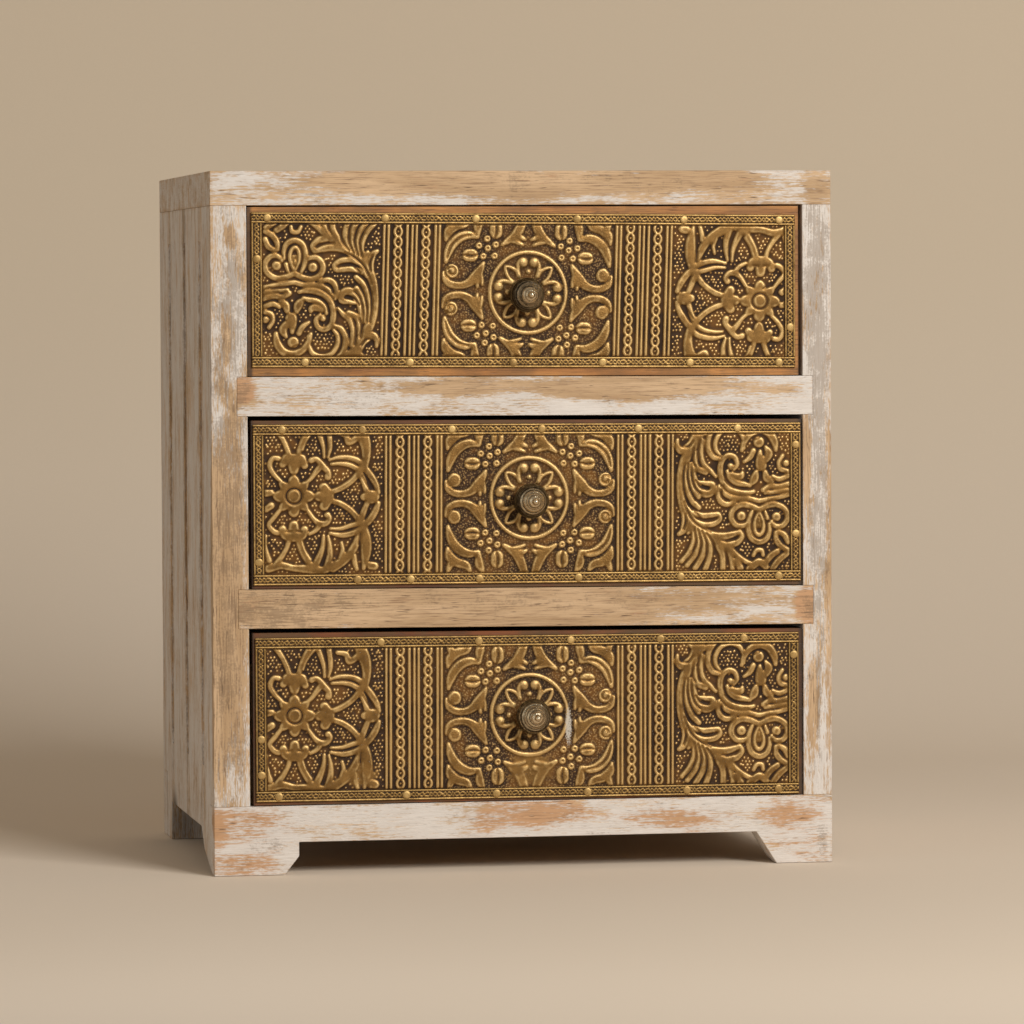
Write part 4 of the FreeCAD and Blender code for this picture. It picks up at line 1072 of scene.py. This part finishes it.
ACANTHUS_VEINS = [
    [(63.2, -1.6, 0.3), (65.6, -7.6, 0.4), (69.6, -11.6, 0.4), (74.0, -13.8, 0.3)],
    [(67.8, 7.0, 0.3), (70.0, 4.2, 0.5), (72.8, 3.6, 0.45)],
    [(63.6, -6.6, 0.3), (63.8, -9.6, 0.45), (62.8, -12.8, 0.3)],
    [(78.6, -17.2, 0.3), (82.0, -17.2, 0.45), (85.2, -15.6, 0.35)],
    [(78.3, 2.8, 0.3), (78.9, 0.4, 0.5), (81.6, -1.2, 0.35)],
    [(79.9, 7.0, 0.25), (82.4, 4.6, 0.3), (86.4, 3.6, 0.35), (90.0, 3.4, 0.3)],
    [(81.5, 11.4, 0.3), (80.6, 13.0, 0.35), (81.4, 14.6, 0.35), (83.0, 14.2, 0.3)],
    [(66.6, 23.0, 0.3), (64.6, 20.6, 0.4), (62.0, 20.8, 0.3)],
    [(84.4, -8.6, 0.3), (85.6, -9.9, 0.35), (88.0, -9.4, 0.3)],
    [(103.4, -8.6, 0.3), (102.4, -10.0, 0.35), (100.2, -9.6, 0.3)],
    [(102.4, -16.0, 0.3), (104.2, -18.4, 0.4)],
    [(93.9, -13.6, 0.3), (94.0, -10.4, 0.3)],
    [(94.2, 24.4, 0.25), (92.0, 23.4, 0.25)],
    [(63.4, 13.8, 0.3), (62.7, 9.0, 0.42), (63.0, 3.4, 0.42), (64.5, -1.8, 0.42), (66.6, -5.0, 0.3)],
    [(64.7, 13.8, 0.3), (64.5, 8.4, 0.42), (65.6, 3.4, 0.4), (67.8, -1.0, 0.35)],
    [(66.0, 13.6, 0.3), (66.2, 8.6, 0.42), (67.5, 4.2, 0.42), (69.8, 1.6, 0.35)],
    [(67.0, 20.0, 0.3), (66.4, 15.8, 0.42), (67.4, 12.6, 0.35)],
    [(69.2, 23.0, 0.3), (68.7, 17.6, 0.42), (69.8, 13.2, 0.35)],
    [(67.2, -12.0, 0.3), (68.1, -17.6, 0.4), (66.8, -21.6, 0.35)],
    [(68.8, -12.6, 0.3), (70.2, -18.2, 0.4), (69.4, -22.6, 0.35)],
    [(70.5, -13.4, 0.3), (72.4, -18.0, 0.4), (72.4, -22.6, 0.35)],
    [(72.3, -14.4, 0.3), (75.1, -18.2, 0.4), (76.2, -22.6, 0.35)],
    [(67.6, -5.6, 0.3), (71.0, -8.9, 0.4), (74.6, -8.9, 0.4)],
]
for points in ACANTHUS:
    design.stroke(points, fuller=ACANTHUS_FULLNESS)
for points in ACANTHUS_VEINS:
    design.vein(points)

# Ground: the hollows between the motifs are stippled with rows of small grains.
ROW_SPACING = 0.87
ROWS_REACH = DESIGN_HALF_HEIGHT - 1
FREE_OF_MARKS = -0.62
FREE_OF_RING = 17.6
dice = np.random.default_rng(7)
clear = design.raised < FREE_OF_MARKS


def room_at(x, z):
    """Whether the ground is free round that point."""
    row = int(round((z + DESIGN_HALF_HEIGHT) / DESIGN_STEP))
    column = int(round((x + DESIGN_HALF_WIDTH) / DESIGN_STEP))
    return clear[min(max(row, 0), clear.shape[0] - 1), min(max(column, 0), clear.shape[1] - 1)]


def stipple(inner, outer, pitch, stray, sizes, height, share):
    """Rows of grains on the free ground between two distances either side of the medallion's middle. Each
    strays by up to stray, and share of them are kept."""
    for row, z in enumerate(np.arange(-ROWS_REACH, ROWS_REACH, pitch * ROW_SPACING)):
        for x in np.arange(-outer, outer, pitch) + (row % 2) * pitch / 2:
            stray_x, stray_z, size, kept = dice.random(4)
            x_at = x + (stray_x - 0.5) * 2 * stray
            z_at = z + (stray_z - 0.5) * 2 * stray
            outside_ring = math.hypot(x_at, z_at) > FREE_OF_RING
            if kept < share and inner < abs(x_at) < outer and outside_ring and room_at(x_at, z_at):
                design.bead(x_at, z_at, sizes[0] + (sizes[1] - sizes[0]) * size, height)


stipple(0.0, 34.6, 1.15, 0.45, (0.28, 0.42), 0.36, 0.6)
stipple(59.6, 111.0, 1.5, 0.27, (0.46, 0.62), 0.5, 0.88)

# Heights: marks rise to a rounded top, veins cut into them, grains stand between, and all of it is softened
# as thin sheet takes a tool's shape. Materials read how raised, hollow or sharp each point is.
RELIEF = 0.85
SWELL = 0.06
ROUND_OVER = 0.5
FLAT_TOP = 0.86
CROWN_RISE = 0.14
CROWN_WIDTH = 3.0
VEIN_DEPTH = 0.7
VEIN_WALL = 0.35
VEIN_LIP = 0.3
LIP_DEPTH = 0.35
SHEET_SOFTNESS = 0.16
HOLLOW_REACH = 1.1
HOLLOW_FULL = 0.30
ARRIS_REACH = 0.8
ARRIS_FULL = 0.26
RAISED_FULL = 0.55


def softened(field, reach):
    """The field blurred over that reach in millimetres."""
    half = int(math.ceil(2.5 * reach / DESIGN_STEP))
    weights = np.exp(-0.5 * (np.arange(-half, half + 1) * DESIGN_STEP / reach) ** 2)
    weights /= weights.sum()
    for axis in (0, 1):
        padded = np.pad(field, [(half, half) if a == axis else (0, 0) for a in (0, 1)], mode="edge")
        field = sum(w * np.take(padded, np.arange(field.shape[axis]) + k, axis=axis)
                    for k, w in enumerate(weights))
    return field


edge_in = np.clip(design.raised + SWELL, 0.0, ROUND_OVER) / ROUND_OVER
crown = np.clip(design.raised / CROWN_WIDTH, 0.0, 1.0)
pillow = np.sqrt(1.0 - (1.0 - edge_in) ** 2) * (FLAT_TOP + CROWN_RISE * crown)
vein = np.clip(design.cut / VEIN_WALL, 0.0, 1.0)
vein = vein + LIP_DEPTH * np.clip((design.cut + VEIN_LIP) / VEIN_LIP, 0.0, 1.0)
heights = RELIEF * pillow * (1.0 - VEIN_DEPTH * np.clip(vein, 0.0, 1.0))
heights = softened(np.maximum(heights, design.beads), SHEET_SOFTNESS)
hollows = np.clip((softened(heights, HOLLOW_REACH) - heights) / HOLLOW_FULL, 0.0, 1.0)
arrises = np.clip((heights - softened(heights, ARRIS_REACH)) / ARRIS_FULL, 0.0, 1.0)
raised = np.clip(heights / RAISED_FULL, 0.0, 1.0)

# Brass finish: golden brown on the raised parts, bright along their edges, partly rubbed wear and partly a
# painted highlight, and nearly black brown in the hollows, with some orange lacquer left on the ground.
brass_age, given, gives = new_group(
    "brass age",
    {"Place": "Vector", "Raised": "Float", "Hollow": "Float", "Arris": "Float", "Seed": "Float"},
    ["Patina", "Rubbed_highlight", "Lacquer", "Scratch", "Dots"],
)
tree = brass_age
place = seeded(tree, given["Place"], given["Seed"])
broad = noise(tree, place, 0.06, 3.0, 0.55, 0.3)
middling = noise(tree, place, 0.45, 4.0, 0.6)
fine = noise(tree, place, 2.6, 3.0, 0.6)
level = plus(tree, given["Raised"], swung(tree, middling, 0.3))
level = value_of(tree, "SUBTRACT", level, times(tree, given["Hollow"], 0.75))
bare = eased_step(tree, plus(tree, level, swung(tree, fine, 0.3)), 0.08, 0.5)
tree.links.new(value_of(tree, "SUBTRACT", 1.0, bare, clamp=True), gives["Patina"])
# Bright along the arrises: partly rubbed wear, partly a painted highlight.
edge = plus(tree, given["Arris"], swung(tree, middling, 0.9), swung(tree, broad, 0.6))
tree.links.new(eased_step(tree, edge, 0.2, 0.85), gives["Rubbed_highlight"])
tree.links.new(eased_step(tree, broad, 0.42, 0.58), gives["Lacquer"])
tree.links.new(fine, gives["Scratch"])
x, _, z = put(tree, "SeparateXYZ", Vector=given["Place"]).outputs
on_sheet = put(tree, "CombineXYZ", X=x, Y=z).outputs[0]
cells = put(tree, "TexVoronoi", {"voronoi_dimensions": "2D"}, Vector=on_sheet, Scale=0.92, Randomness=0.9)
between = eased_step(tree, cells.outputs["Distance"], 0.16, 0.34)
tree.links.new(value_of(tree, "SUBTRACT", 1.0, between), gives["Dots"])

BRASS_SPECK = tint(78, 55, 31)
OUTLINE = tint(42, 29, 18)
DOT_BRASS = tint(172, 138, 88)
LACQUER = tint(124, 83, 36)
SPILL = tint(198, 190, 176)
SHEET_BRASS = (tint(211, 175, 116), tint(143, 107, 58), tint(112, 82, 43), tint(68, 47, 30))


def attribute_of(tree, name):
    """A value that the mesh holds at each vertex."""
    return put(tree, "Attribute", {"attribute_name": name}).outputs["Fac"]


def aged_brass(name, seed, lacquer, colours, spill=None):
    """Brass in four colours: bright, for rubbed wear and a painted highlight along the edges, its body,
    duller clouds in that and the patina held in its hollows. Spill is a drip of lime paint, as a centre and
    a reach."""
    bright, body, dull, dark = colours
    material, tree, shader = new_material(name)
    place = chest_place(tree)
    hollow = attribute_of(tree, "hollow")
    age = placed(tree, brass_age, Place=place, Raised=attribute_of(tree, "raised"), Hollow=hollow,
                 Arris=attribute_of(tree, "arris"), Seed=seed)
    metal = layered(tree, eased_step(tree, noise(tree, place, 0.16, 4.0, 0.6), 0.35, 0.7), body, dull)
    metal = layered(tree, eased_step(tree, age["Scratch"], 0.52, 0.68), metal, BRASS_SPECK, 0.45)
    # The edges are laid bright: partly rubbed wear, partly a painted highlight.
    metal = layered(tree, age["Rubbed_highlight"], metal, bright, 0.9)
    dots = times(tree, age["Dots"], attribute_of(tree, "stippled"))
    ground = layered(tree, age["Lacquer"], dark, LACQUER, lacquer)
    ground = layered(tree, dots, ground, DOT_BRASS, 0.7)
    ground = layered(tree, hollow, ground, OUTLINE, 0.78)
    colour = layered(tree, age["Patina"], metal, ground)
    metallic = value_of(tree, "MULTIPLY_ADD", age["Patina"], -0.62, 0.66)
    if spill:
        drip = placed(tree, rubbed_patch, Place=place, Centre=spill[0], Reach=spill[1], Amount=1.0)["Patch"]
        drip = eased_step(tree, value_of(tree, "MULTIPLY_ADD", age["Scratch"], 3.0, drip), 2.0, 2.3)
        drip = times(tree, drip, 0.92)
        colour = layered(tree, drip, colour, SPILL)
        metallic = value_of(tree, "MULTIPLY", metallic, value_of(tree, "SUBTRACT", 1.0, drip))
    rough = value_of(tree, "MULTIPLY_ADD", age["Patina"], 0.2, 0.44)
    rough = plus(tree, rough, swung(tree, age["Scratch"], 0.16))
    tooth = plus(tree, noise(tree, place, 5.0, 3.0, 0.6), dots)
    surfaced(tree, shader, colour, rough, tooth, 0.45, 0.08 * MM)
    tree.links.new(metallic, shader.inputs["Metallic"])
    shader.inputs["Specular IOR Level"].default_value = 0.15
    return material


# Sheets: cut from the roll, so the three show the same design, a little shifted and leaning with each front.
# The lower one is rubbed flat in two places and has a streak of lime paint beside its knob.
SHEETS = {
    "upper": {"middle": (127.4, 231.6), "tilt": -0.031, "turned": -1, "seed": 5.0, "lacquer": 0.8},
    "middle": {"middle": (128.1, 149.0), "tilt": -0.008, "turned": 1, "seed": 47.0, "lacquer": 0.9},
    "lower": {"middle": (127.8, 61.9), "tilt": -0.004, "turned": 1, "seed": 90.0, "lacquer": 0.8,
              "flattened": [((128.0, 40.5), (13.0, 8.5)), ((59.0, 39.0), (9.0, 6.5))],
              "spill": ((143.4, 0.0, 57.5), (2.3, 9.0, 12.0))},
}
FLATTENED = {"height": (0.7, 0.3), "raised": (0.6, 0.55), "hollow": (0.8, 0.0), "arris": (0.5, 0.15)}
FLAT_EDGE = 2.2
STIPPLED_TO = 34.6
SHEET_COLUMNS = 620
SHEET_ROWS = 158
ROPE_ZONE = (35.0, 59.5)
ROPE_ZONE_DENSITY = 1.6
COLUMN_SAMPLES = 4001
GROUND_DEPTH = 0.6
SHEET_BACK = 0.97
TUCK = 2.5
TUCK_FADE = 0.7
END_REACH = 0.3 * MM


def sheet_corners(node):
    """Left x, right x and the four corner heights of a packed sheet or strip, in metres."""
    points = np.array([v.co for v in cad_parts[node].data.vertices])
    left, right = points[:, 0].min(), points[:, 0].max()
    near_left = points[points[:, 0] < left + END_REACH][:, 2]
    near_right = points[points[:, 0] > right - END_REACH][:, 2]
    return left, right, near_left.min(), near_left.max(), near_right.min(), near_right.max()


def plate_grid(node, across, up):
    """A packed sheet's or strip's x and z in metres, and each point's distance from its edge in millimetres.
    Across and up are a row and a column of shares, from 0 to 1."""
    left, right, low_left, high_left, low_right, high_right = sheet_corners(node)
    x = left + (right - left) * across + 0.0 * up
    bottom = low_left + (low_right - low_left) * across
    top = high_left + (high_right - high_left) * across
    z = bottom + (top - bottom) * up
    return x, z, np.minimum(np.minimum(x - left, right - x), np.minimum(z - bottom, top - z)) / MM


def marked(mesh, label, values):
    """Writes a value for each vertex, which materials read by its label."""
    attribute = mesh.attributes.new(label, "FLOAT", "POINT")
    attribute.data.foreach_set("value", np.asarray(values, np.float32))


def pressed_plate(name, grid, back_y, shares, material):
    """A closed thin plate from a grid of front points; its back is one flat face. Shares maps an attribute's
    name to its values on the front."""
    rows, columns = grid.shape[:2]
    front = grid.reshape(-1, 3)
    last = rows * columns - 1
    low_end = last - columns + 1
    rim = [*range(columns - 1), *range(columns - 1, last, columns), *range(last, low_end, -1),
           *range(low_end, 0, -columns)]
    back = front[rim].copy()
    back[:, 1] = back_y
    cell = (np.arange(rows - 1)[:, None] * columns + np.arange(columns - 1)).ravel()
    faces = np.stack([cell, cell + 1, cell + columns + 1, cell + columns], 1).tolist()
    smooth = [True] * len(faces) + [False] * (len(rim) + 1)
    for k, here in enumerate(rim):
        after = (k + 1) % len(rim)
        faces.append((here, len(front) + k, len(front) + after, rim[after]))
    faces.append(tuple(len(front) + k for k in reversed(range(len(rim)))))
    mesh = bpy.data.meshes.new(name)
    mesh.from_pydata(np.vstack([front, back]).tolist(), [], faces)
    mesh.polygons.foreach_set("use_smooth", smooth)
    for label, values in shares.items():
        marked(mesh, label, np.concatenate([values.ravel(), np.zeros(len(rim))]))
    mesh.materials.append(material)
    mesh.update()
    return shown(name, mesh)


def looked_up(field, x, z):
    """A design field's values at those points, between its grid's own."""
    column = np.clip((x + DESIGN_HALF_WIDTH) / DESIGN_STEP, 0, field.shape[1] - 1.001)
    row = np.clip((z + DESIGN_HALF_HEIGHT) / DESIGN_STEP, 0, field.shape[0] - 1.001)
    c, r = column.astype(int), row.astype(int)
    fc, fr = column - c, row - r
    low = field[r, c] * (1 - fc) + field[r, c + 1] * fc
    high = field[r + 1, c] * (1 - fc) + field[r + 1, c + 1] * fc
    return low * (1 - fr) + high * fr


def column_shares(node, middle):
    """Where a sheet's grid columns stand, from 0 to 1 across it: closer together over the rope columns."""
    left, right = sheet_corners(node)[:2]
    samples = np.linspace(left, right, COLUMN_SAMPLES)
    from_middle = np.abs((samples - CHEST_ORIGIN.x) / MM - middle)
    inside = (from_middle > ROPE_ZONE[0]) & (from_middle < ROPE_ZONE[1])
    density = np.where(inside, ROPE_ZONE_DENSITY, 1.0)
    running = np.concatenate([[0.0], np.cumsum((density[1:] + density[:-1]) / 2)])
    wanted = np.linspace(0.0, running[-1], SHEET_COLUMNS)
    shares = np.interp(wanted, running, np.linspace(0.0, 1.0, COLUMN_SAMPLES))
    shares[0], shares[-1] = 0.0, 1.0
    return shares[None, :]


for tier in TIERS:
    sheet = SHEETS[tier]
    node = tier + "_brass_sheet"
    middle_x, middle_z = sheet["middle"]
    up = np.linspace(0.0, 1.0, SHEET_ROWS)[:, None]
    x, z, from_edge = plate_grid(node, column_shares(node, middle_x), up)
    off_x = (x - CHEST_ORIGIN.x) / MM - middle_x
    off_z = z / MM - middle_z
    ahead, aslant = math.cos(sheet["tilt"]), math.sin(sheet["tilt"])
    design_x = (ahead * off_x + aslant * off_z) * sheet["turned"]
    design_z = (ahead * off_z - aslant * off_x) * sheet["turned"]
    fade = np.clip((from_edge - TUCK) / TUCK_FADE, 0.0, 1.0)
    flat = np.zeros_like(x)
    for (flat_x, flat_z), (reach_x, reach_z) in sheet.get("flattened", ()):
        away = np.hypot(((x - CHEST_ORIGIN.x) / MM - flat_x) / reach_x, (z / MM - flat_z) / reach_z)
        flat = np.maximum(flat, np.clip(FLAT_EDGE * (1.0 - away), 0.0, 1.0) * fade)
    shares = {}
    for label, field in (("height", heights), ("raised", raised), ("hollow", hollows), ("arris", arrises)):
        loss, gain = FLATTENED[label]
        share = looked_up(field, design_x, design_z) * (1.0 if label == "hollow" else fade)
        shares[label] = share * (1.0 - loss * flat) + gain * flat
    shares["stippled"] = np.where(np.abs(design_x) < STIPPLED_TO, 1.0, 0.0) * (1.0 - flat)
    front = CHEST_ORIGIN.y + (GROUND_DEPTH - shares.pop("height")) * MM
    brass = aged_brass("embossed_brass_" + tier, sheet["seed"], sheet["lacquer"], SHEET_BRASS,
                       sheet.get("spill"))
    plate = pressed_plate(tier + "_embossed_sheet", np.stack([x, front, z], -1),
                          CHEST_ORIGIN.y + SHEET_BACK * MM, shares, brass)
    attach(plate, tier + "_drawer")
    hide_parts(node)


# Edging strips: narrow brass bands stamped with a rope between two fine ribs, nailed down over the sheet's
# edges. The upright ones run between the other two.
STRIP_STEP = 0.26
STRIP_FEWEST = 8
STRIP_RELIEF = 0.34
STRIP_GROUND = 0.22
STRIP_EDGE = 0.25
STRIP_TURNED_BACK = 0.12
BAND_PITCH = 3.6
BAND_RIB_INSET = 0.42
BAND_RIB_HALF = 0.27
STRAND_INSET = 1.15
STRAND_SWING = 0.75
STRAND_HALF = 0.36
STRAND_PITS = 0.2
GROUND_PITS = 0.3
STRIP_COLOURS = (tint(200, 164, 102), tint(150, 117, 66), tint(118, 90, 50), tint(60, 43, 27))
STRIP_WEAR = {"upper": 1.15, "middle": 1.15, "lower": 0.97}


def band_heights(along, across, half_width):
    """The stamped rope's height at points along and across a strip, from 0 to 1. Its strands slip and its
    ground is pitted, as hand work is."""
    rib = np.exp(-((np.abs(across) - (half_width - BAND_RIB_INSET)) / BAND_RIB_HALF) ** 4)
    slipped = along + 0.35 * np.sin(0.83 * along + 0.9 * across) + 0.2 * np.sin(2.1 * along)
    swing = (half_width - STRAND_INSET) * STRAND_SWING
    bend = swing * np.sin(2 * math.pi * slipped / BAND_PITCH)
    from_strand = np.minimum(np.abs(across - bend), np.abs(across + bend))
    strand = np.exp(-(from_strand / STRAND_HALF) ** 4)
    pits = np.sin(5.3 * along + 2.9 * across) * np.sin(3.1 * along - 5.7 * across)
    pitted = strand * (1.0 - STRAND_PITS + STRAND_PITS * pits)
    pitted = pitted + GROUND_PITS * np.clip(pits, 0.0, 1.0) * (1.0 - strand)
    return np.clip(np.maximum(rib, pitted), 0.0, 1.0)


for tier in TIERS:
    worn = [tuple(channel * STRIP_WEAR[tier] for channel in colour[:3]) + (1.0,) for colour in STRIP_COLOURS]
    strip_brass = aged_brass("strip_brass_" + tier, 12.0, 0.15, worn)
    for side in ("top", "bottom", "left", "right"):
        node = f"{tier}_{side}_strip"
        left, right, low_left, high_left = sheet_corners(node)[:4]
        upright = side in ("left", "right")
        width, length = sorted(((right - left) / MM, (high_left - low_left) / MM))
        long_count, short_count = int(length / STRIP_STEP), max(STRIP_FEWEST, int(width / STRIP_STEP))
        columns, rows = (short_count, long_count) if upright else (long_count, short_count)
        across = np.linspace(0.0, 1.0, columns)[None, :]
        up = np.linspace(0.0, 1.0, rows)[:, None]
        x, z, from_edge = plate_grid(node, across, up)
        along = (z if upright else x) / MM
        aside = ((across if upright else up) - 0.5) * width
        stamped = band_heights(along, aside, width / 2)
        round_off = np.clip(from_edge / STRIP_EDGE, 0.0, 1.0)
        rise = stamped * STRIP_RELIEF * round_off - STRIP_TURNED_BACK * (1 - round_off)
        shares = {
            "raised": stamped * 0.75 + 0.25,
            "hollow": 0.5 * (1.0 - stamped),
            "arris": np.clip(stamped * 1.6 - 0.9, 0.0, 1.0),
        }
        face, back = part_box(node)[0].y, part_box(node)[1].y
        front = face + (STRIP_GROUND - rise) * MM
        grid = np.stack([x, front, z], -1)
        strip = pressed_plate(f"{tier}_{side}_edging", grid, back, shares, strip_brass)
        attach(strip, tier + "_drawer")
        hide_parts(node)


# Nails: low domed brass heads, hammered in by hand, so each sits and shines a little differently. Their
# shanks run through strip, sheet and front.
HEAD_RADIUS = 1.7
HEAD_DOME = 0.62
HEAD_SEAT = -0.1
HEAD_FRONT = -1.1
HEAD_RINGS = 5
HEAD_SPOKES = 20
HEAD_DENT = 0.05
HEAD_WOBBLE = 0.02
CROWN_FLATNESS = (0.9, 0.03)
DOME_SHAPE = (0.7, 0.6)
SHANK_RADIUS = 0.5
SHANK_END = 6.9
HEAD_CREASE = math.radians(60.0)
HEADS_FROM = 0.2 * MM
ONE_HEAD = 2.2 * HEAD_RADIUS * MM
NAIL_COLOURS = (tint(206, 172, 112), tint(166, 131, 78), tint(132, 101, 57), tint(78, 57, 37))
nail_dice = np.random.default_rng(21)
nail_brass = aged_brass("nail_brass", 33.0, 0.1, NAIL_COLOURS)


def nail_places(node):
    """The middle of each nail head of a packed set, in metres."""
    points = np.array([v.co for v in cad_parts[node].data.vertices])
    heads = points[points[:, 1] < CHEST_ORIGIN.y - HEADS_FROM][:, (0, 2)]
    places = []
    for corner in heads:
        if all(math.hypot(*(corner - place)) > ONE_HEAD for place in places):
            head = heads[np.hypot(*(heads - corner).T) < ONE_HEAD]
            places.append((head.min(0) + head.max(0)) / 2)
    return places


def nail_rings():
    """A nail's outline as (radius, y): the dome from its crown down to its rim, then the shank."""
    rings = []
    for k in range(1, HEAD_RINGS + 1):
        angle = math.radians(90.0 * k / HEAD_RINGS)
        out = HEAD_RADIUS * math.sin(angle) ** DOME_SHAPE[0]
        rings.append((out, HEAD_SEAT - HEAD_DOME * max(0.0, math.cos(angle)) ** DOME_SHAPE[1]))
    rings.append((HEAD_RADIUS * 0.96, HEAD_SEAT + 0.02))
    rings.append((SHANK_RADIUS, HEAD_SEAT + 0.04))
    rings.append((SHANK_RADIUS, SHANK_END))
    return rings


def turned_faces(first, rings, spokes):
    """Faces of a turned piece: a fan round its first vertex, then bands from each ring to the next."""
    faces = []
    for spoke in range(spokes):
        after = (spoke + 1) % spokes
        faces.append((first, first + 1 + spoke, first + 1 + after))
        for k in range(rings - 1):
            a = first + 1 + k * spokes
            b = a + spokes
            faces.append((a + spoke, b + spoke, b + after, a + after))
    return faces


for tier in TIERS:
    node = tier + "_brass_nails"
    rings = nail_rings()
    vertices = []
    faces = []
    at_rim = []
    for x, z in nail_places(node):
        tilt_x, tilt_z, _, flat = nail_dice.normal(0.0, 1.0, 4)
        first = len(vertices)
        crown = HEAD_SEAT - HEAD_DOME * (CROWN_FLATNESS[0] + CROWN_FLATNESS[1] * abs(flat))
        vertices.append((x, CHEST_ORIGIN.y + crown * MM, z))
        at_rim.append(0.0)
        for k, (radius, y) in enumerate(rings):
            for spoke in range(HEAD_SPOKES):
                angle = 2 * math.pi * spoke / HEAD_SPOKES
                wobble = HEAD_WOBBLE * math.sin(2 * angle + tilt_x * 3) if k <= HEAD_RINGS else 0.0
                out = radius * (1.0 + wobble) * MM
                lean = tilt_x * math.cos(angle) + tilt_z * math.sin(angle)
                dent = HEAD_DENT * lean * radius / HEAD_RADIUS if k < HEAD_RINGS - 1 else 0.0
                y_at = CHEST_ORIGIN.y + max(y + dent, HEAD_FRONT) * MM
                vertices.append((x + out * math.cos(angle), y_at, z + out * math.sin(angle)))
                at_rim.append(float(k >= HEAD_RINGS - 1))
        faces += turned_faces(first, len(rings), HEAD_SPOKES)
        faces.append(tuple(reversed(range(len(vertices) - HEAD_SPOKES, len(vertices)))))
    nails = smooth_object(tier + "_nail_set", vertices, faces, nail_brass)
    nails.data.set_sharp_from_angle(angle=HEAD_CREASE)
    at_rim = np.array(at_rim, np.float32)
    marked(nails.data, "raised", 0.8 - 0.6 * at_rim)
    marked(nails.data, "hollow", 0.8 * at_rim)
    marked(nails.data, "arris", 0.55 - 0.5 * at_rim)
    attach(nails, tier + "_drawer")
    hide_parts(node)


# Knobs: cast and turned bronze, dark in its grooves and brighter towards its front, partly rubbed wear and
# partly a painted highlight. A wide bell on a short collar, rounded to the front with two fine steps cut in
# it, and a small bright tip.
KNOB_SPOKES = 96
KNOB_PROFILE = [
    (0.0, -16.98), (0.35, -16.93), (0.75, -16.65), (1.05, -16.1), (1.15, -15.5), (1.2, -15.0), (1.75, -14.6),
    (2.08, -14.3), (2.25, -14.05), (2.6, -13.65), (2.95, -13.15), (3.26, -12.62), (3.46, -12.36),
    (3.68, -12.22), (3.82, -11.96), (4.12, -11.5), (4.5, -10.95), (4.84, -10.42), (5.08, -10.12),
    (5.3, -9.98), (5.45, -9.76), (5.86, -9.25), (6.4, -8.3), (6.8, -7.2), (6.98, -6.0), (6.98, -5.4),
    (6.7, -4.1), (5.6, -2.9), (4.1, -2.0), (3.8, -1.3), (4.2, -0.6), (4.5, 0.1), (4.4, 0.5), (0.0, 0.5),
]
# The colour brightens from here towards the tip: partly rubbed wear, partly a painted highlight.
WORN_FROM = 2.0
WORN_OVER = 14.0
KNOB_DARK = tint(46, 38, 27)
KNOB_BRIGHT = tint(228, 212, 180)
bronze, tree, shader = new_material("antique_bronze")
place = chest_place(tree)
grit = noise(tree, place, 1.1, 4.0, 0.6)
turned = noise(tree, vector_of(tree, "MULTIPLY", place, (0.03, 1.5, 0.03)), 1.0, 2.0)
level = plus(tree, attribute_of(tree, "raised"), swung(tree, grit, 0.6), swung(tree, turned, 1.6))
bright = eased_step(tree, level, 0.32, 1.0)
surfaced(tree, shader, layered(tree, bright, KNOB_DARK, KNOB_BRIGHT),
         value_of(tree, "MULTIPLY_ADD", bright, -0.15, 0.34),
         value_of(tree, "MULTIPLY_ADD", turned, 2.4, noise(tree, place, 2.4, 3.0)), 0.9, 0.18 * MM)
shader.inputs["Metallic"].default_value = 0.96

for tier in TIERS:
    low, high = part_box(tier + "_knob")
    axis_x, axis_z = (low.x + high.x) / 2, (low.z + high.z) / 2
    vertices = []
    worn = []
    for radius, y in KNOB_PROFILE:
        for spoke in range(KNOB_SPOKES if radius else 1):
            angle = 2 * math.pi * spoke / KNOB_SPOKES
            vertices.append((axis_x + radius * math.cos(angle) * MM, CHEST_ORIGIN.y + y * MM,
                             axis_z + radius * math.sin(angle) * MM))
            worn.append(min(1.0, max(0.0, (-y - WORN_FROM) / WORN_OVER)))
    faces = turned_faces(0, len(KNOB_PROFILE) - 2, KNOB_SPOKES)
    back = len(vertices) - 1
    for spoke in range(KNOB_SPOKES):
        after = (spoke + 1) % KNOB_SPOKES
        faces.append((back, back - KNOB_SPOKES + after, back - KNOB_SPOKES + spoke))
    knob = smooth_object(tier + "_turned_knob", vertices, faces, bronze)
    knob.data.set_sharp_from_angle(angle=CREASE_ANGLE)
    marked(knob.data, "raised", worn)
    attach(knob, tier + "_drawer")
    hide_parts(tier + "_knob")
